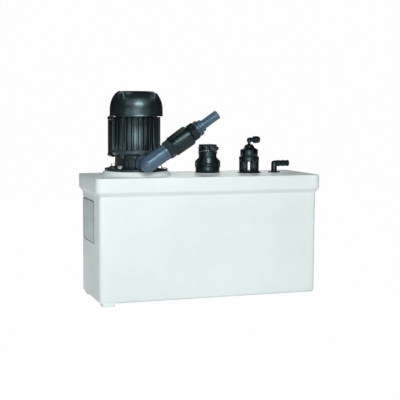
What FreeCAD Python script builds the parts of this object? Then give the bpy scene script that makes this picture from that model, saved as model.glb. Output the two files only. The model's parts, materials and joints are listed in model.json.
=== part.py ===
import FreeCAD, Part
import math
import os
from FreeCAD import Rotation, Vector

# Brine lifting pump: a rotomoulded tank with an upright immersion pump, a check valve with its hose
# tail, a sleeved inlet, an air gap fitting and a barbed vent elbow on its top.
# Lengths are in millimetres and angles in degrees. X runs along the tank, Z is up, and the feet stand
# on Z = 0. The origin is the middle of the space that the whole pump takes up on the floor.

# Tank
TANK_LENGTH = 500.0
TANK_WIDTH = 187.0
TANK_HEIGHT = 259.0
TANK_WALL = 4.0
RIM_HEIGHT = 29.6
RIM_OVERHANG = 7.7
RIM_CHAMFER_HEIGHT = 8.6
RIM_CORNER_R = 15.0
BODY_CORNER_R = 9.0
TOP_EDGE_R = 4.0
BOTTOM_EDGE_R = 6.0
FOOT_HEIGHT = 6.0
FOOT_LENGTH = 28.0
FOOT_WIDTH = 22.0
FOOT_CORNER_R = 5.0
FOOT_END_MARGIN = 5.5
FOOT_SIDE_MARGIN = 1.2
RIGHT_FOOT_END_MARGIN = 40.0
RIGHT_FOOT_SIDE_MARGIN = 34.0

# Pump pad on the tank top, and the low boss under the inlet
PUMP_END_MARGIN = 108.0
PUMP_X = PUMP_END_MARGIN - TANK_LENGTH / 2
PAD_HEIGHT = 10.3
PAD_BASE_R = 74.5
PAD_TOP_R = 69.5
PAD_EDGE_R = 3.0
PUMP_OPENING_R = 49.0
INLET_BOSS_R = 29.0
INLET_BOSS_HEIGHT = 3.6

# Rating plate on the left end
PLATE_WIDTH = 103.0
PLATE_HEIGHT = 91.0
PLATE_THICKNESS = 0.9
PLATE_BORDER = 3.0
PLATE_BORDER_RISE = 0.4
PLATE_Y = 13.5
PLATE_DROP = 11.8

# Everything on the motor and the head is turned a little about the upright axis
PATTERN_TURN = -4.8
PATTERN_COUNT = 4

# Pump head
GASKET_THICKNESS = 1.2
FLANGE_R = 67.3
FLANGE_THICKNESS = 3.8
LUG_R = 9.0
LUG_RISE = 3.7
HEAD_BOLT_CIRCLE_R = 59.5
HEAD_BOLT_R = 3.0
HEAD_BOLT_HEX = 10.0
HEAD_BOLT_HEX_HEIGHT = 4.4
HEAD_BOLT_DEPTH = 19.0
WASHER_R = 6.2
WASHER_THICKNESS = 1.4
INSERT_R = 4.4
INSERT_LENGTH = 11.0
INSERT_BOSS_R = 7.5
HEAD_R = 45.5
HEAD_TOP_ABOVE_FLANGE = 28.3
HEAD_CAVITY_R = 20.0
HEAD_FLOOR_THICKNESS = 4.5
HEAD_RECESS_DEPTH = 0.9
HEAD_RECESS_R = 11.0
PORT_HEIGHT = 16.2
PORT_OFFSET = 2.5
PORT_NECK_R = 14.5
PORT_NECK_REACH = 52.0
PORT_COLLAR_R = 20.0
PORT_COLLAR_LENGTH = 8.0
PORT_STUB_LENGTH = 17.0
PORT_BORE_R = 8.5

# Wet end below the head
COLUMN_R = 17.0
COLUMN_BORE_R = 13.0
COLUMN_FLANGE_R = 22.5
COLUMN_FLANGE_THICKNESS = 5.0
RISER_OFFSET = 33.0
RISER_R = 9.5
RISER_BORE_R = 7.5
RISER_SOCKET_DEPTH = 7.5
STRAINER_FLOOR_GAP = 4.0
STRAINER_HEIGHT = 14.0
STRAINER_R = 30.0
STRAINER_WALL = 2.5
STRAINER_SLOTS = 10
STRAINER_SLOT_WIDTH = 6.0
COVER_THICKNESS = 6.0
COVER_INLET_R = 12.0
VOLUTE_R = 36.0
VOLUTE_SHIFT_X = 2.5
VOLUTE_SHIFT_Y = -3.0
VOLUTE_WALL = 4.5
CHAMBER_HEIGHT = 18.0
VOLUTE_TOP_THICKNESS = 8.0
VOLUTE_BOSS_R = 20.0
VOLUTE_BOSS_HEIGHT = 6.0
TOWER_R = 12.0
TOWER_RISE = 10.0
CASING_SCREW_CIRCLE_R = 39.5
CASING_SCREW_LUG_R = 5.0
CASING_LUG_HEIGHT = 8.0
CASING_SCREW_R = 2.0
CASING_SCREW_HEAD_R = 3.6
CASING_SCREW_HEAD_HEIGHT = 3.0
BUSH_R = 9.0
BUSH_LENGTH = 12.0
RUNNING_CLEARANCE = 0.05

# Pump rotor
PUMP_SHAFT_R = 5.0
SHAFT_END_R = 4.0
IMPELLER_R = 30.0
IMPELLER_HUB_R = 9.0
IMPELLER_HEIGHT = 11.0
IMPELLER_SHROUD = 2.0
IMPELLER_VANES = 6
IMPELLER_VANE_THICKNESS = 2.0
IMPELLER_VANE_BEND_R = 18.6
IMPELLER_VANE_CENTRE = (18.2, -3.6)
IMPELLER_LIFT = 4.0
IMPELLER_NUT_HEX = 13.0
IMPELLER_NUT_HEIGHT = 6.0
COUPLING_R = 10.0
COUPLING_LENGTH = 20.0
COUPLING_FLOOR_GAP = 3.0

# Motor
SHIELD_R = 51.3
SHIELD_FLATS = 101.4
SHIELD_THICKNESS = 11.2
SHIELD_CHAMFER = 3.6
TAB_WIDTH = 9.0
TAB_R = 52.5
TAB_DROP = 5.6
BEARING_R = 16.0
BEARING_WIDTH = 10.0
RACE_GROOVE_INNER_R = 9.5
RACE_GROOVE_OUTER_R = 12.5
RACE_GROOVE_DEPTH = 0.8
BEARING_FLOOR = 2.4
JOURNAL_R = 6.0
MOTOR_SHAFT_END_R = 4.5
CORE_SEAT_R = 8.0
HOUSING_LENGTH = 69.2
HOUSING_R = 44.5
HOUSING_BORE_R = 40.0
FIN_R = 51.5
FIN_COUNT = 28
FIN_WIDTH = 6.2
TIE_BOLT_R = 2.0
TIE_BOLT_CIRCLE_R = 48.4
TIE_BOLT_HEAD_R = 2.7
TIE_BOLT_HEAD_HEIGHT = 3.0
TIE_BOLT_GRIP = 3.5
STATOR_BORE_R = 26.2
STATOR_LENGTH = 54.0
STATOR_RAISE = 8.2
WINDING_OUTER_R = 36.0
WINDING_INNER_R = 28.5
WINDING_LENGTH = 6.2
AIR_GAP = 0.5
ROTOR_OVERHANG = 2.0
UPPER_SHIELD_THICKNESS = 4.0
UPPER_HUB_R = 20.0
UPPER_HUB_HEIGHT = 10.0
COWL_POST_R = 5.5

# Fan cowl and fan
COWL_GAP = 1.5
COWL_R = 55.6
COWL_HEIGHT = 52.8
COWL_WALL = 2.2
COWL_LIP_R = 56.3
COWL_LIP_HEIGHT = 2.0
COWL_SHOULDER = [(15.5, 55.6), (22.0, 54.6), (37.8, 49.9), (46.5, 44.2)]
COWL_TOP_R = 37.4
COWL_BOSS_CIRCLE_R = 45.5
COWL_BOSS_R = 6.2
COWL_BOSS_DROP = 5.3
COWL_SCREW_R = 1.9
COWL_SCREW_HEAD_R = 3.7
COWL_SCREW_HEAD_HEIGHT = 3.0
COWL_SCREW_GRIP = 4.5
GRILLE_RINGS = 4
GRILLE_RIBS = 8
GRILLE_HUB_R = 7.0
GRILLE_SLOT = 4.0
GRILLE_PITCH = 7.0
GRILLE_RIB_WIDTH = 3.5
FAN_SHAFT_R = 5.0
FAN_R = 37.0
FAN_HUB_R = 10.0
FAN_LIFT = 15.0
FAN_HEIGHT = 17.0
FAN_BLADES = 8
FAN_BLADE_THICKNESS = 1.8
FAN_DISC_THICKNESS = 2.0

# Terminal box at the back of the motor
BOX_WIDTH = 80.0
BOX_HEIGHT = 83.7
BOX_FRONT_Y = 52.5
BOX_DEPTH = 22.0
BOX_WALL = 3.0
BOX_CENTRE_RAISE = 25.75
BOX_CORNER_R = 5.0
BOX_SADDLE_WIDTH = 54.0
BOX_SADDLE_HEIGHT = 56.0
LID_DEPTH = 17.0
LID_OVERHANG = 1.0
EAR_R = 4.5
EAR_OVERHANG = 2.4
LID_SCREW_R = 1.9
LID_SCREW_HEAD_R = 3.4
LID_SCREW_HEAD_HEIGHT = 3.0
LID_SCREW_GRIP = 12.0
BLOCK_WIDTH = 40.0
BLOCK_DEPTH = 12.0
BLOCK_HEIGHT = 28.0
STUD_R = 2.0
STUD_LENGTH = 8.0
GLAND_THREAD_R = 8.0
GLAND_HEX = 22.0
GLAND_HEX_LENGTH = 6.0
GLAND_DOME_R = 10.0
GLAND_DOME_LENGTH = 14.0
GLAND_BORE_R = 4.5
GLAND_DROP = 16.0

# Delivery line: distances along it are counted from the middle of the elbow's knee
LINE_SLOPE = 34.5
KNEE_REACH = 87.0
ELBOW_R = 16.5
ELBOW_BEAD_R = 17.1
ELBOW_BEAD_LENGTH = 2.4
ELBOW_RELIEF = 0.6
ELBOW_LEG = 40.5
ELBOW_BORE_R = 9.5
SOCKET_R = 12.5
SOCKET_DEPTH = 18.7
NIPPLE_COLLAR_R = 17.0
NIPPLE_COLLAR_LENGTH = 7.0
NIPPLE_BORE_R = 8.5
NIPPLE_THREAD_R = 11.5
NIPPLE_THREAD_LENGTH = 13.7
VALVE_HEX = 34.5
VALVE_HEX_LENGTH = 14.2
VALVE_BARREL_LENGTH = 42.7
VALVE_BARREL_START_R = 21.35
VALVE_BARREL_R = 22.35
VALVE_SHOULDER_LENGTH = 4.5
VALVE_SHOULDER_R = 18.6
VALVE_RING_WIDTH = 1.3
VALVE_RING_DEPTH = 0.6
SEAT_R = 8.0
SEAT_WEB = 3.7
CHAMBER_R = 17.0
CAP_HEX_LENGTH = 14.0
CAP_TURN = 20.0
CAP_SPIGOT_LENGTH = 12.0
CAP_SPIGOT_BORE_R = 14.0
CAP_BORE_R = 11.0
GUIDE_R = 5.5
GUIDE_LENGTH = 7.0
GUIDE_WEB = 2.0
GUIDE_WEBS = 3
POPPET_R = 10.5
POPPET_THICKNESS = 3.0
POPPET_NOSE_R = 7.4
POPPET_STEM_R = 3.0
POPPET_SEAT_GAP = 0.3
POPPET_TRAVEL = 6.0
SPRING_MEAN_R = 5.0
SPRING_WIRE_R = 0.5
SPRING_TURNS = 5.0
ADAPTER_NECK_R = 13.5
ADAPTER_NECK_LENGTH = 3.3
ADAPTER_DISC_R = 16.5
ADAPTER_DISC_LENGTH = 2.4
ADAPTER_THREAD_LENGTH = 12.0
ADAPTER_BORE_R = 7.5
O_RING_LENGTH = 2.0
O_RING_R = 17.2
TAIL_FLANGE_R = 16.5
TAIL_FLANGE_LENGTH = 3.2
TAIL_WAIST_R = 12.2
TAIL_WAIST_LENGTH = 2.8
TAIL_STEP_R = 13.2
TAIL_STEP_LENGTH = 5.8
TAIL_R = 9.8
TAIL_LENGTH = 38.7
TAIL_BORE_R = 7.5
TAIL_RINGS = 8
TAIL_RING_PITCH = 3.0
TAIL_RING_DEPTH = 0.45
TAIL_TIP_R = 2.0

# Small fittings on the tank top stand a little behind the middle, counted from its right end
FITTING_Y = 18.0
HOLE_CLEARANCE = 0.2
VENT_END_MARGIN = 64.7
AIR_GAP_PITCH = 61.2
INLET_PITCH = 98.4
VENT_X = TANK_LENGTH / 2 - VENT_END_MARGIN
AIR_GAP_X = VENT_X - AIR_GAP_PITCH
INLET_X = AIR_GAP_X - INLET_PITCH

# Inlet with its rubber sleeve and hose clamp
UNION_R = 25.4
UNION_SKIRT_HEIGHT = 12.4
UNION_BEAD_HEIGHT = 8.0
UNION_STEM_R = 17.4
UNION_BORE_R = 15.0
UNION_STEM_DEPTH = 21.0
SPIGOT_R = 17.5
SPIGOT_HEIGHT = 11.0
EAR_REACH = 28.3
EAR_THICKNESS = 7.0
EAR_TOP_HEIGHT = 31.4
EAR_SHOULDER_HEIGHT = 23.4
EAR_WAIST_HEIGHT = 12.9
SLEEVE_R = 19.7
SLEEVE_BORE_R = 16.0
SLEEVE_CUFF_R = 23.2
SLEEVE_CUFF_HEIGHT = 11.0
SLEEVE_LENGTH = 40.0
BAND_THICKNESS = 0.9
BAND_WIDTH = 16.5
BAND_TOP_MARGIN = 1.0
CLAMP_ANGLE = 283.0
WORM_R = 3.3
WORM_HOUSING_LENGTH = 14.0
WORM_HOUSING_WIDTH = 12.0
WORM_HEAD_HEX = 7.0
WORM_HEAD_LENGTH = 4.6
WORM_WALL = 1.0
INLET_NUT_HEX = 46.0
NUT_THICKNESS = 8.0

# Air gap fitting
AIR_GAP_TURN = -18.8
CAGE_FLANGE_R = 27.0
CAGE_FLANGE_THICKNESS = 2.8
CAGE_R = 22.4
CAGE_BORE_R = 17.4
CAGE_HEIGHT = 36.4
CAGE_SPIGOT_R = 15.4
CAGE_OUTLET_R = 13.0
CAGE_SPIGOT_DEPTH = 19.0
WINDOW_WIDTH = 8.6
WINDOW_HEIGHT = 20.3
WINDOW_SILL = 4.7
WINDOW_COUNT = 4
CAP_BODY_R = 19.8
CAP_BODY_HEIGHT = 15.6
CAP_PLUG_DEPTH = 8.0
CAP_WALL = 2.5
CAP_CONE_R = 12.6
CAP_CONE_HEIGHT = 6.4
CAP_TOP_R = 7.6
CAP_TOP_HEIGHT = 6.2
SWIVEL_R = 3.3
SWIVEL_DEPTH = 9.0
SWIVEL_NECK = 3.9
PUSH_BODY_R = 5.25
PUSH_BORE_R = 2.0
PUSH_ARM_R = 5.0
PUSH_NUT_R = 8.0
PUSH_NUT_START = 10.0
PUSH_NUT_LENGTH = 12.0
COLLET_R = 5.0
COLLET_CLEARANCE = 0.08
COLLET_BORE_R = 4.05
COLLET_DEPTH = 10.0
COLLET_FLANGE_R = 6.4
COLLET_FLANGE_THICKNESS = 1.2
COLLET_GAP = 1.1
COLLET_TRAVEL = 1.0
AIR_GAP_NUT_HEX = 40.0

# Barbed vent elbow
VENT_FLANGE_R = 13.7
VENT_FLANGE_THICKNESS = 2.4
VENT_R = 6.5
VENT_BORE_R = 3.8
VENT_AXIS_HEIGHT = 20.2
VENT_REACH = 35.0
VENT_PIPE_R = 6.4
VENT_BARB_R = 7.3
VENT_BARB_LENGTH = 2.2
VENT_BARB_LAND = 1.6
VENT_BARB_REACH = [10.9, 21.8, 33.4]
VENT_STEM_DEPTH = 13.0
GROMMET_R = 9.0
GROMMET_LIP_R = 12.0
GROMMET_LIP_THICKNESS = 2.5

# Level control
LEVEL_OFFSET = 34.0
LEVEL_ROD_R = 4.0
LEVEL_CASING_GAP = 20.5
LEVEL_GLAND_HEX = 12.5
LEVEL_GLAND_HEIGHT = 8.0
FLOAT_R = 13.0
FLOAT_HEIGHT = 28.0
FLOAT_CLEARANCE = 0.1
FLOAT_REST_GAP = 0.3
FLOAT_TRAVEL = 60.0
FLOAT_EDGE_R = 4.0
CLIP_R = 6.5
CLIP_THICKNESS = 2.0
CLIP_END_MARGIN = 2.0

# Heights worked out from the sizes above
BODY_LENGTH = TANK_LENGTH - 2 * RIM_OVERHANG
BODY_WIDTH = TANK_WIDTH - 2 * RIM_OVERHANG
RIM_TOP_Z = FOOT_HEIGHT + TANK_HEIGHT
RIM_LOW_Z = RIM_TOP_Z - RIM_HEIGHT
CHAMFER_LOW_Z = RIM_LOW_Z - RIM_CHAMFER_HEIGHT
PLATE_LOW_Z = CHAMFER_LOW_Z - PLATE_DROP - PLATE_HEIGHT
TANK_FLOOR_Z = FOOT_HEIGHT + TANK_WALL
CEILING_Z = RIM_TOP_Z - TANK_WALL
PAD_TOP_Z = RIM_TOP_Z + PAD_HEIGHT
FLANGE_LOW_Z = PAD_TOP_Z + GASKET_THICKNESS
FLANGE_TOP_Z = FLANGE_LOW_Z + FLANGE_THICKNESS
LUG_TOP_Z = FLANGE_TOP_Z + LUG_RISE
HEAD_TOP_Z = FLANGE_TOP_Z + HEAD_TOP_ABOVE_FLANGE
HEAD_FLOOR_Z = FLANGE_LOW_Z + HEAD_FLOOR_THICKNESS
PORT_X = PUMP_X + PORT_OFFSET
PORT_Z = FLANGE_LOW_Z + PORT_HEIGHT
PORT_FACE_Y = -(PORT_NECK_REACH + PORT_COLLAR_LENGTH)
RISER_TOP_Z = FLANGE_LOW_Z + RISER_SOCKET_DEPTH
STRAINER_LOW_Z = TANK_FLOOR_Z + STRAINER_FLOOR_GAP
COVER_LOW_Z = STRAINER_LOW_Z + STRAINER_HEIGHT
CASING_LOW_Z = COVER_LOW_Z + COVER_THICKNESS
CHAMBER_TOP_Z = CASING_LOW_Z + CHAMBER_HEIGHT
CASING_TOP_Z = CHAMBER_TOP_Z + VOLUTE_TOP_THICKNESS
COLUMN_LOW_Z = CASING_TOP_Z + VOLUTE_BOSS_HEIGHT
TOWER_TOP_Z = COLUMN_LOW_Z + TOWER_RISE
IMPELLER_LOW_Z = CASING_LOW_Z + IMPELLER_LIFT
COUPLING_LOW_Z = HEAD_FLOOR_Z + COUPLING_FLOOR_GAP
COUPLING_MID_Z = COUPLING_LOW_Z + COUPLING_LENGTH / 2
COUPLING_TOP_Z = COUPLING_LOW_Z + COUPLING_LENGTH
SHIELD_TOP_Z = HEAD_TOP_Z + SHIELD_THICKNESS
LOWER_BEARING_Z = HEAD_TOP_Z + BEARING_FLOOR
HOUSING_TOP_Z = SHIELD_TOP_Z + HOUSING_LENGTH
STATOR_LOW_Z = SHIELD_TOP_Z + STATOR_RAISE
STATOR_TOP_Z = STATOR_LOW_Z + STATOR_LENGTH
UPPER_HUB_TOP_Z = HOUSING_TOP_Z + UPPER_HUB_HEIGHT
UPPER_BEARING_Z = UPPER_HUB_TOP_Z - BEARING_FLOOR - BEARING_WIDTH
COWL_LOW_Z = HOUSING_TOP_Z + COWL_GAP
COWL_TOP_Z = COWL_LOW_Z + COWL_HEIGHT
COWL_BOSS_TOP_Z = COWL_TOP_Z - COWL_BOSS_DROP
FAN_LOW_Z = HOUSING_TOP_Z + FAN_LIFT
FAN_TOP_Z = FAN_LOW_Z + FAN_HEIGHT
BOX_LOW_Z = SHIELD_TOP_Z + BOX_CENTRE_RAISE - BOX_HEIGHT / 2
BOX_TOP_Z = BOX_LOW_Z + BOX_HEIGHT
BOX_BACK_Y = BOX_FRONT_Y + BOX_DEPTH
ROTOR_R = STATOR_BORE_R - AIR_GAP
LEVEL_LOW_Z = CASING_TOP_Z + LEVEL_CASING_GAP
FLOAT_LOW_Z = LEVEL_LOW_Z + CLIP_END_MARGIN + CLIP_THICKNESS + FLOAT_REST_GAP
INLET_BASE_Z = RIM_TOP_Z + INLET_BOSS_HEIGHT
SLEEVE_LOW_Z = INLET_BASE_Z + UNION_SKIRT_HEIGHT + UNION_BEAD_HEIGHT
SLEEVE_TOP_Z = SLEEVE_LOW_Z + SLEEVE_LENGTH
BAND_TOP_Z = SLEEVE_TOP_Z - BAND_TOP_MARGIN
BAND_LOW_Z = BAND_TOP_Z - BAND_WIDTH
CAGE_TOP_Z = RIM_TOP_Z + CAGE_HEIGHT
CAP_BODY_TOP_Z = CAGE_TOP_Z + CAP_BODY_HEIGHT
CAP_CONE_TOP_Z = CAP_BODY_TOP_Z + CAP_CONE_HEIGHT
CAP_TOP_Z = CAP_CONE_TOP_Z + CAP_TOP_HEIGHT
PUSH_AXIS_Z = CAP_TOP_Z + SWIVEL_NECK + PUSH_BODY_R
VENT_AXIS_Z = RIM_TOP_Z + VENT_AXIS_HEIGHT

# Distances along the delivery line
NIPPLE_START = ELBOW_LEG
VALVE_START = NIPPLE_START + NIPPLE_COLLAR_LENGTH
BARREL_START = VALVE_START + VALVE_HEX_LENGTH
SEAT_FACE = VALVE_START + NIPPLE_THREAD_LENGTH + SEAT_WEB
BARREL_END = BARREL_START + VALVE_BARREL_LENGTH
VALVE_END = BARREL_END + VALVE_SHOULDER_LENGTH
CAP_END = VALVE_END + CAP_HEX_LENGTH
GUIDE_START = VALVE_END - CAP_SPIGOT_LENGTH
POPPET_START = SEAT_FACE + POPPET_SEAT_GAP
POPPET_BACK = POPPET_START + POPPET_THICKNESS
ADAPTER_DISC_START = CAP_END + ADAPTER_NECK_LENGTH
O_RING_START = ADAPTER_DISC_START + ADAPTER_DISC_LENGTH
TAIL_START = O_RING_START + O_RING_LENGTH
TAIL_STEP_START = TAIL_START + TAIL_FLANGE_LENGTH + TAIL_WAIST_LENGTH
TAIL_PIPE_START = TAIL_STEP_START + TAIL_STEP_LENGTH
TAIL_END = TAIL_PIPE_START + TAIL_LENGTH

# The valve reaches further forward than the tank, so the tank stands behind the origin
FRAME_SHIFT_Y = (KNEE_REACH + VALVE_BARREL_R - TANK_WIDTH / 2) / 2

PATTERN_ANGLES = [45.0 + PATTERN_TURN + 360.0 / PATTERN_COUNT * i for i in range(PATTERN_COUNT)]


# Plain shapes

def block(x_low, x_high, y_low, y_high, z_low, z_high):
    """A box between its low and high corners."""
    return Part.makeBox(x_high - x_low, y_high - y_low, z_high - z_low, Vector(x_low, y_low, z_low))


def cylinder(radius, z_low, z_high, x=0.0, y=0.0):
    """An upright cylinder."""
    return Part.makeCylinder(radius, z_high - z_low, Vector(x, y, z_low))


def revolved(profile, x=0.0, y=0.0):
    """A closed outline of (radius, height) corners turned once round the upright axis at x, y."""
    points = [Vector(radius, 0, height) for radius, height in profile]
    solid = Part.Face(Part.makePolygon(points + points[:1])).revolve(Vector(0, 0, 0), Vector(0, 0, 1), 360)
    if solid.Volume < 0:
        solid.reverse()
    solid.translate(Vector(x, y, 0))
    return solid


def ring(outer, inner, z_low, z_high, x=0.0, y=0.0):
    """An upright tube."""
    return revolved([(inner, z_low), (outer, z_low), (outer, z_high), (inner, z_high)], x, y)


def polygon_prism(points, direction):
    """A closed outline of 3-D points, pushed along a direction."""
    return Part.Face(Part.makePolygon(points + points[:1])).extrude(direction)


def hexagon(across_flats, z_low, z_high, x=0.0, y=0.0, turn=0.0):
    """An upright hexagonal bar with a flat towards -Y when turn is 0."""
    radius = across_flats / math.sqrt(3)
    points = []
    for i in range(6):
        angle = math.radians(60 * i + turn)
        points.append(Vector(x + radius * math.cos(angle), y + radius * math.sin(angle), z_low))
    return polygon_prism(points, Vector(0, 0, z_high - z_low))


def turned(shape, degrees, x=0.0, y=0.0):
    """A copy turned about the upright axis at x, y."""
    copy = shape.copy()
    copy.rotate(Vector(x, y, 0), Vector(0, 0, 1), degrees)
    return copy


def moved(shape, x=0.0, y=0.0, z=0.0):
    """A copy moved by x, y, z."""
    copy = shape.copy()
    copy.translate(Vector(x, y, z))
    return copy


def laid(shape, origin, direction_turn, axis):
    """A copy of a shape built on +Z, with +Z turned about an axis through the origin, then moved."""
    copy = shape.copy()
    copy.rotate(Vector(0, 0, 0), axis, direction_turn)
    copy.translate(origin)
    return copy


def forward(shape, x, y, z):
    """A shape built on +Z, laid so that +Z becomes -Y."""
    return laid(shape, Vector(x, y, z), 90, Vector(1, 0, 0))


def sideways(shape, x, y, z):
    """A shape built on +Z, laid so that +Z becomes +X."""
    return laid(shape, Vector(x, y, z), 90, Vector(0, 1, 0))


def on_line(shape):
    """A shape built on +Z from the knee, laid along the sloping delivery line."""
    return laid(shape, Vector(PORT_X, -KNEE_REACH, PORT_Z), 90 - LINE_SLOPE, Vector(0, 1, 0))


def fused(first, *others):
    """One solid out of several that touch or overlap."""
    return first.fuse(list(others)).removeSplitter()


def polar(radius, degrees, x=0.0, y=0.0):
    """The x and y of a point at a radius and angle round x, y."""
    return x + radius * math.cos(math.radians(degrees)), y + radius * math.sin(math.radians(degrees))


def round_pattern(make, radius, angles, x=0.0, y=0.0):
    """What make(x, y) gives at each angle round x, y."""
    return [make(*polar(radius, angle, x, y)) for angle in angles]


def rounded_outline(length, width, radius, z, x=0.0, y=0.0):
    """A closed wire of four straights and four quarter arcs, level at z."""
    edges = []
    last = None
    first = None
    for side_x, side_y, start in ((1, 1, 0), (-1, 1, 90), (-1, -1, 180), (1, -1, 270)):
        middle_x = x + side_x * (length / 2 - radius)
        middle_y = y + side_y * (width / 2 - radius)
        points = [Vector(*polar(radius, start + step, middle_x, middle_y), z) for step in (0, 45, 90)]
        if last is not None:
            edges.append(Part.LineSegment(last, points[0]).toShape())
        else:
            first = points[0]
        edges.append(Part.Arc(*points).toShape())
        last = points[2]
    edges.append(Part.LineSegment(last, first).toShape())
    return Part.Wire(edges)


def rounded_block(length, width, radius, z_low, z_high, x=0.0, y=0.0):
    """An upright block with rounded upright corners."""
    outline = rounded_outline(length, width, radius, z_low, x, y)
    return Part.Face(outline).extrude(Vector(0, 0, z_high - z_low))


def level_edges(shape, z):
    """The edges that lie in the level plane z."""
    return [e for e in shape.Edges if abs(e.BoundBox.ZMin - z) < 1e-4 and abs(e.BoundBox.ZMax - z) < 1e-4]


# Tank

def tank_envelope(inset):
    """The tank's outer form, or its hollow when inset is the wall."""
    length = BODY_LENGTH - 2 * inset
    width = BODY_WIDTH - 2 * inset
    rim_length = TANK_LENGTH - 2 * inset
    rim_width = TANK_WIDTH - 2 * inset
    body = rounded_block(length, width, BODY_CORNER_R - inset, FOOT_HEIGHT + inset, CHAMFER_LOW_Z)
    edge = max(BOTTOM_EDGE_R - inset, 1.0)
    body = body.makeFillet(edge, level_edges(body, FOOT_HEIGHT + inset))
    low = rounded_outline(length, width, BODY_CORNER_R - inset, CHAMFER_LOW_Z)
    high = rounded_outline(rim_length, rim_width, RIM_CORNER_R - inset, RIM_LOW_Z)
    flare = Part.makeLoft([low, high], True, True)
    rim = rounded_block(rim_length, rim_width, RIM_CORNER_R - inset, RIM_LOW_Z, RIM_TOP_Z - inset)
    if inset == 0:
        rim = rim.makeFillet(TOP_EDGE_R, level_edges(rim, RIM_TOP_Z))
    return fused(body, flare, rim)


def pad_form(inset):
    """The round pump pad with sloping sides, from inside the tank top up."""
    sink = TANK_WALL + inset
    grow = (PAD_BASE_R - PAD_TOP_R) * sink / PAD_HEIGHT
    low = RIM_TOP_Z - sink
    high = PAD_TOP_Z - inset
    top_r = PAD_TOP_R - inset
    base_r = PAD_BASE_R - inset + (grow if inset else 0)
    pad = Part.makeCone(base_r, top_r, high - low, Vector(PUMP_X, 0, low))
    if inset == 0:
        pad = cylinder(PAD_BASE_R, low, RIM_TOP_Z, PUMP_X).fuse(
            Part.makeCone(PAD_BASE_R, PAD_TOP_R, PAD_HEIGHT, Vector(PUMP_X, 0, RIM_TOP_Z)))
        pad = pad.makeFillet(PAD_EDGE_R, level_edges(pad, PAD_TOP_Z))
    return pad


def foot(x, y):
    """One moulded foot."""
    pad = rounded_block(FOOT_LENGTH, FOOT_WIDTH, FOOT_CORNER_R, 0, FOOT_HEIGHT + TANK_WALL, x, y)
    return pad


def feet():
    """Two feet near the left corners, and two set further in at the right."""
    left_x = -BODY_LENGTH / 2 + FOOT_END_MARGIN + FOOT_LENGTH / 2
    left_y = BODY_WIDTH / 2 - FOOT_SIDE_MARGIN - FOOT_WIDTH / 2
    right_x = BODY_LENGTH / 2 - RIGHT_FOOT_END_MARGIN - FOOT_LENGTH / 2
    right_y = BODY_WIDTH / 2 - RIGHT_FOOT_SIDE_MARGIN - FOOT_WIDTH / 2
    return [foot(x, side * y) for x, y in ((left_x, left_y), (right_x, right_y)) for side in (-1, 1)]


def tank():
    """Hollow tank with its pad, inlet boss, feet and top openings."""
    inlet_boss = cylinder(INLET_BOSS_R, CEILING_Z, INLET_BASE_Z, INLET_X, FITTING_Y)
    inlet_boss = inlet_boss.makeFillet(INLET_BOSS_HEIGHT / 2, level_edges(inlet_boss, INLET_BASE_Z))
    shell = fused(tank_envelope(0), pad_form(0), inlet_boss, *feet())
    hollow = tank_envelope(TANK_WALL).fuse(pad_form(TANK_WALL))
    shell = shell.cut(hollow)
    insert_z = PAD_TOP_Z - INSERT_LENGTH

    def insert_boss(x, y):
        return cylinder(INSERT_BOSS_R, insert_z - TANK_WALL / 2, PAD_TOP_Z - TANK_WALL / 2, x, y)

    bosses = round_pattern(insert_boss, HEAD_BOLT_CIRCLE_R, PATTERN_ANGLES, PUMP_X)
    shell = shell.fuse(bosses)

    def insert_hole(x, y):
        return cylinder(INSERT_R, insert_z, PAD_TOP_Z + 1, x, y)

    def bolt_tip_hole(x, y):
        return cylinder(HEAD_BOLT_R + HOLE_CLEARANCE, insert_z - TANK_WALL, insert_z, x, y)

    cuts = round_pattern(insert_hole, HEAD_BOLT_CIRCLE_R, PATTERN_ANGLES, PUMP_X)
    cuts += round_pattern(bolt_tip_hole, HEAD_BOLT_CIRCLE_R, PATTERN_ANGLES, PUMP_X)
    cuts.append(cylinder(PUMP_OPENING_R, CEILING_Z - 1, PAD_TOP_Z + 1, PUMP_X))
    cuts.append(cylinder(UNION_STEM_R + HOLE_CLEARANCE, CEILING_Z - 1, INLET_BASE_Z + 1, INLET_X, FITTING_Y))
    cuts.append(cylinder(CAGE_SPIGOT_R + HOLE_CLEARANCE, CEILING_Z - 1, RIM_TOP_Z + 1, AIR_GAP_X, FITTING_Y))
    cuts.append(cylinder(GROMMET_R, CEILING_Z - 1, RIM_TOP_Z + 1, VENT_X, FITTING_Y))
    return shell.cut(cuts).removeSplitter()


def rating_plate():
    """Bare plate with a raised border on the tank's left end."""
    face_x = -BODY_LENGTH / 2
    thick = PLATE_THICKNESS + PLATE_BORDER_RISE
    y_low = PLATE_Y - PLATE_WIDTH / 2
    y_high = PLATE_Y + PLATE_WIDTH / 2
    z_high = PLATE_LOW_Z + PLATE_HEIGHT
    plate = block(face_x - thick, face_x, y_low, y_high, PLATE_LOW_Z, z_high)
    field = block(face_x - thick - 1, face_x - PLATE_THICKNESS, y_low + PLATE_BORDER, y_high - PLATE_BORDER,
                  PLATE_LOW_Z + PLATE_BORDER, z_high - PLATE_BORDER)
    return plate.cut(field)


def threaded_inserts():
    """Four inserts moulded into the pad."""
    def insert(x, y):
        return ring(INSERT_R, HEAD_BOLT_R, PAD_TOP_Z - INSERT_LENGTH, PAD_TOP_Z, x, y)

    return Part.makeCompound(round_pattern(insert, HEAD_BOLT_CIRCLE_R, PATTERN_ANGLES, PUMP_X))


# Pump head and its fastenings

def elbow_relief():
    """The room that the elbow's first leg needs in the flange and the gasket."""
    return forward(cylinder(ELBOW_BEAD_R + ELBOW_RELIEF, 0, FLANGE_R), PORT_X, PORT_FACE_Y, PORT_Z)


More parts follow.
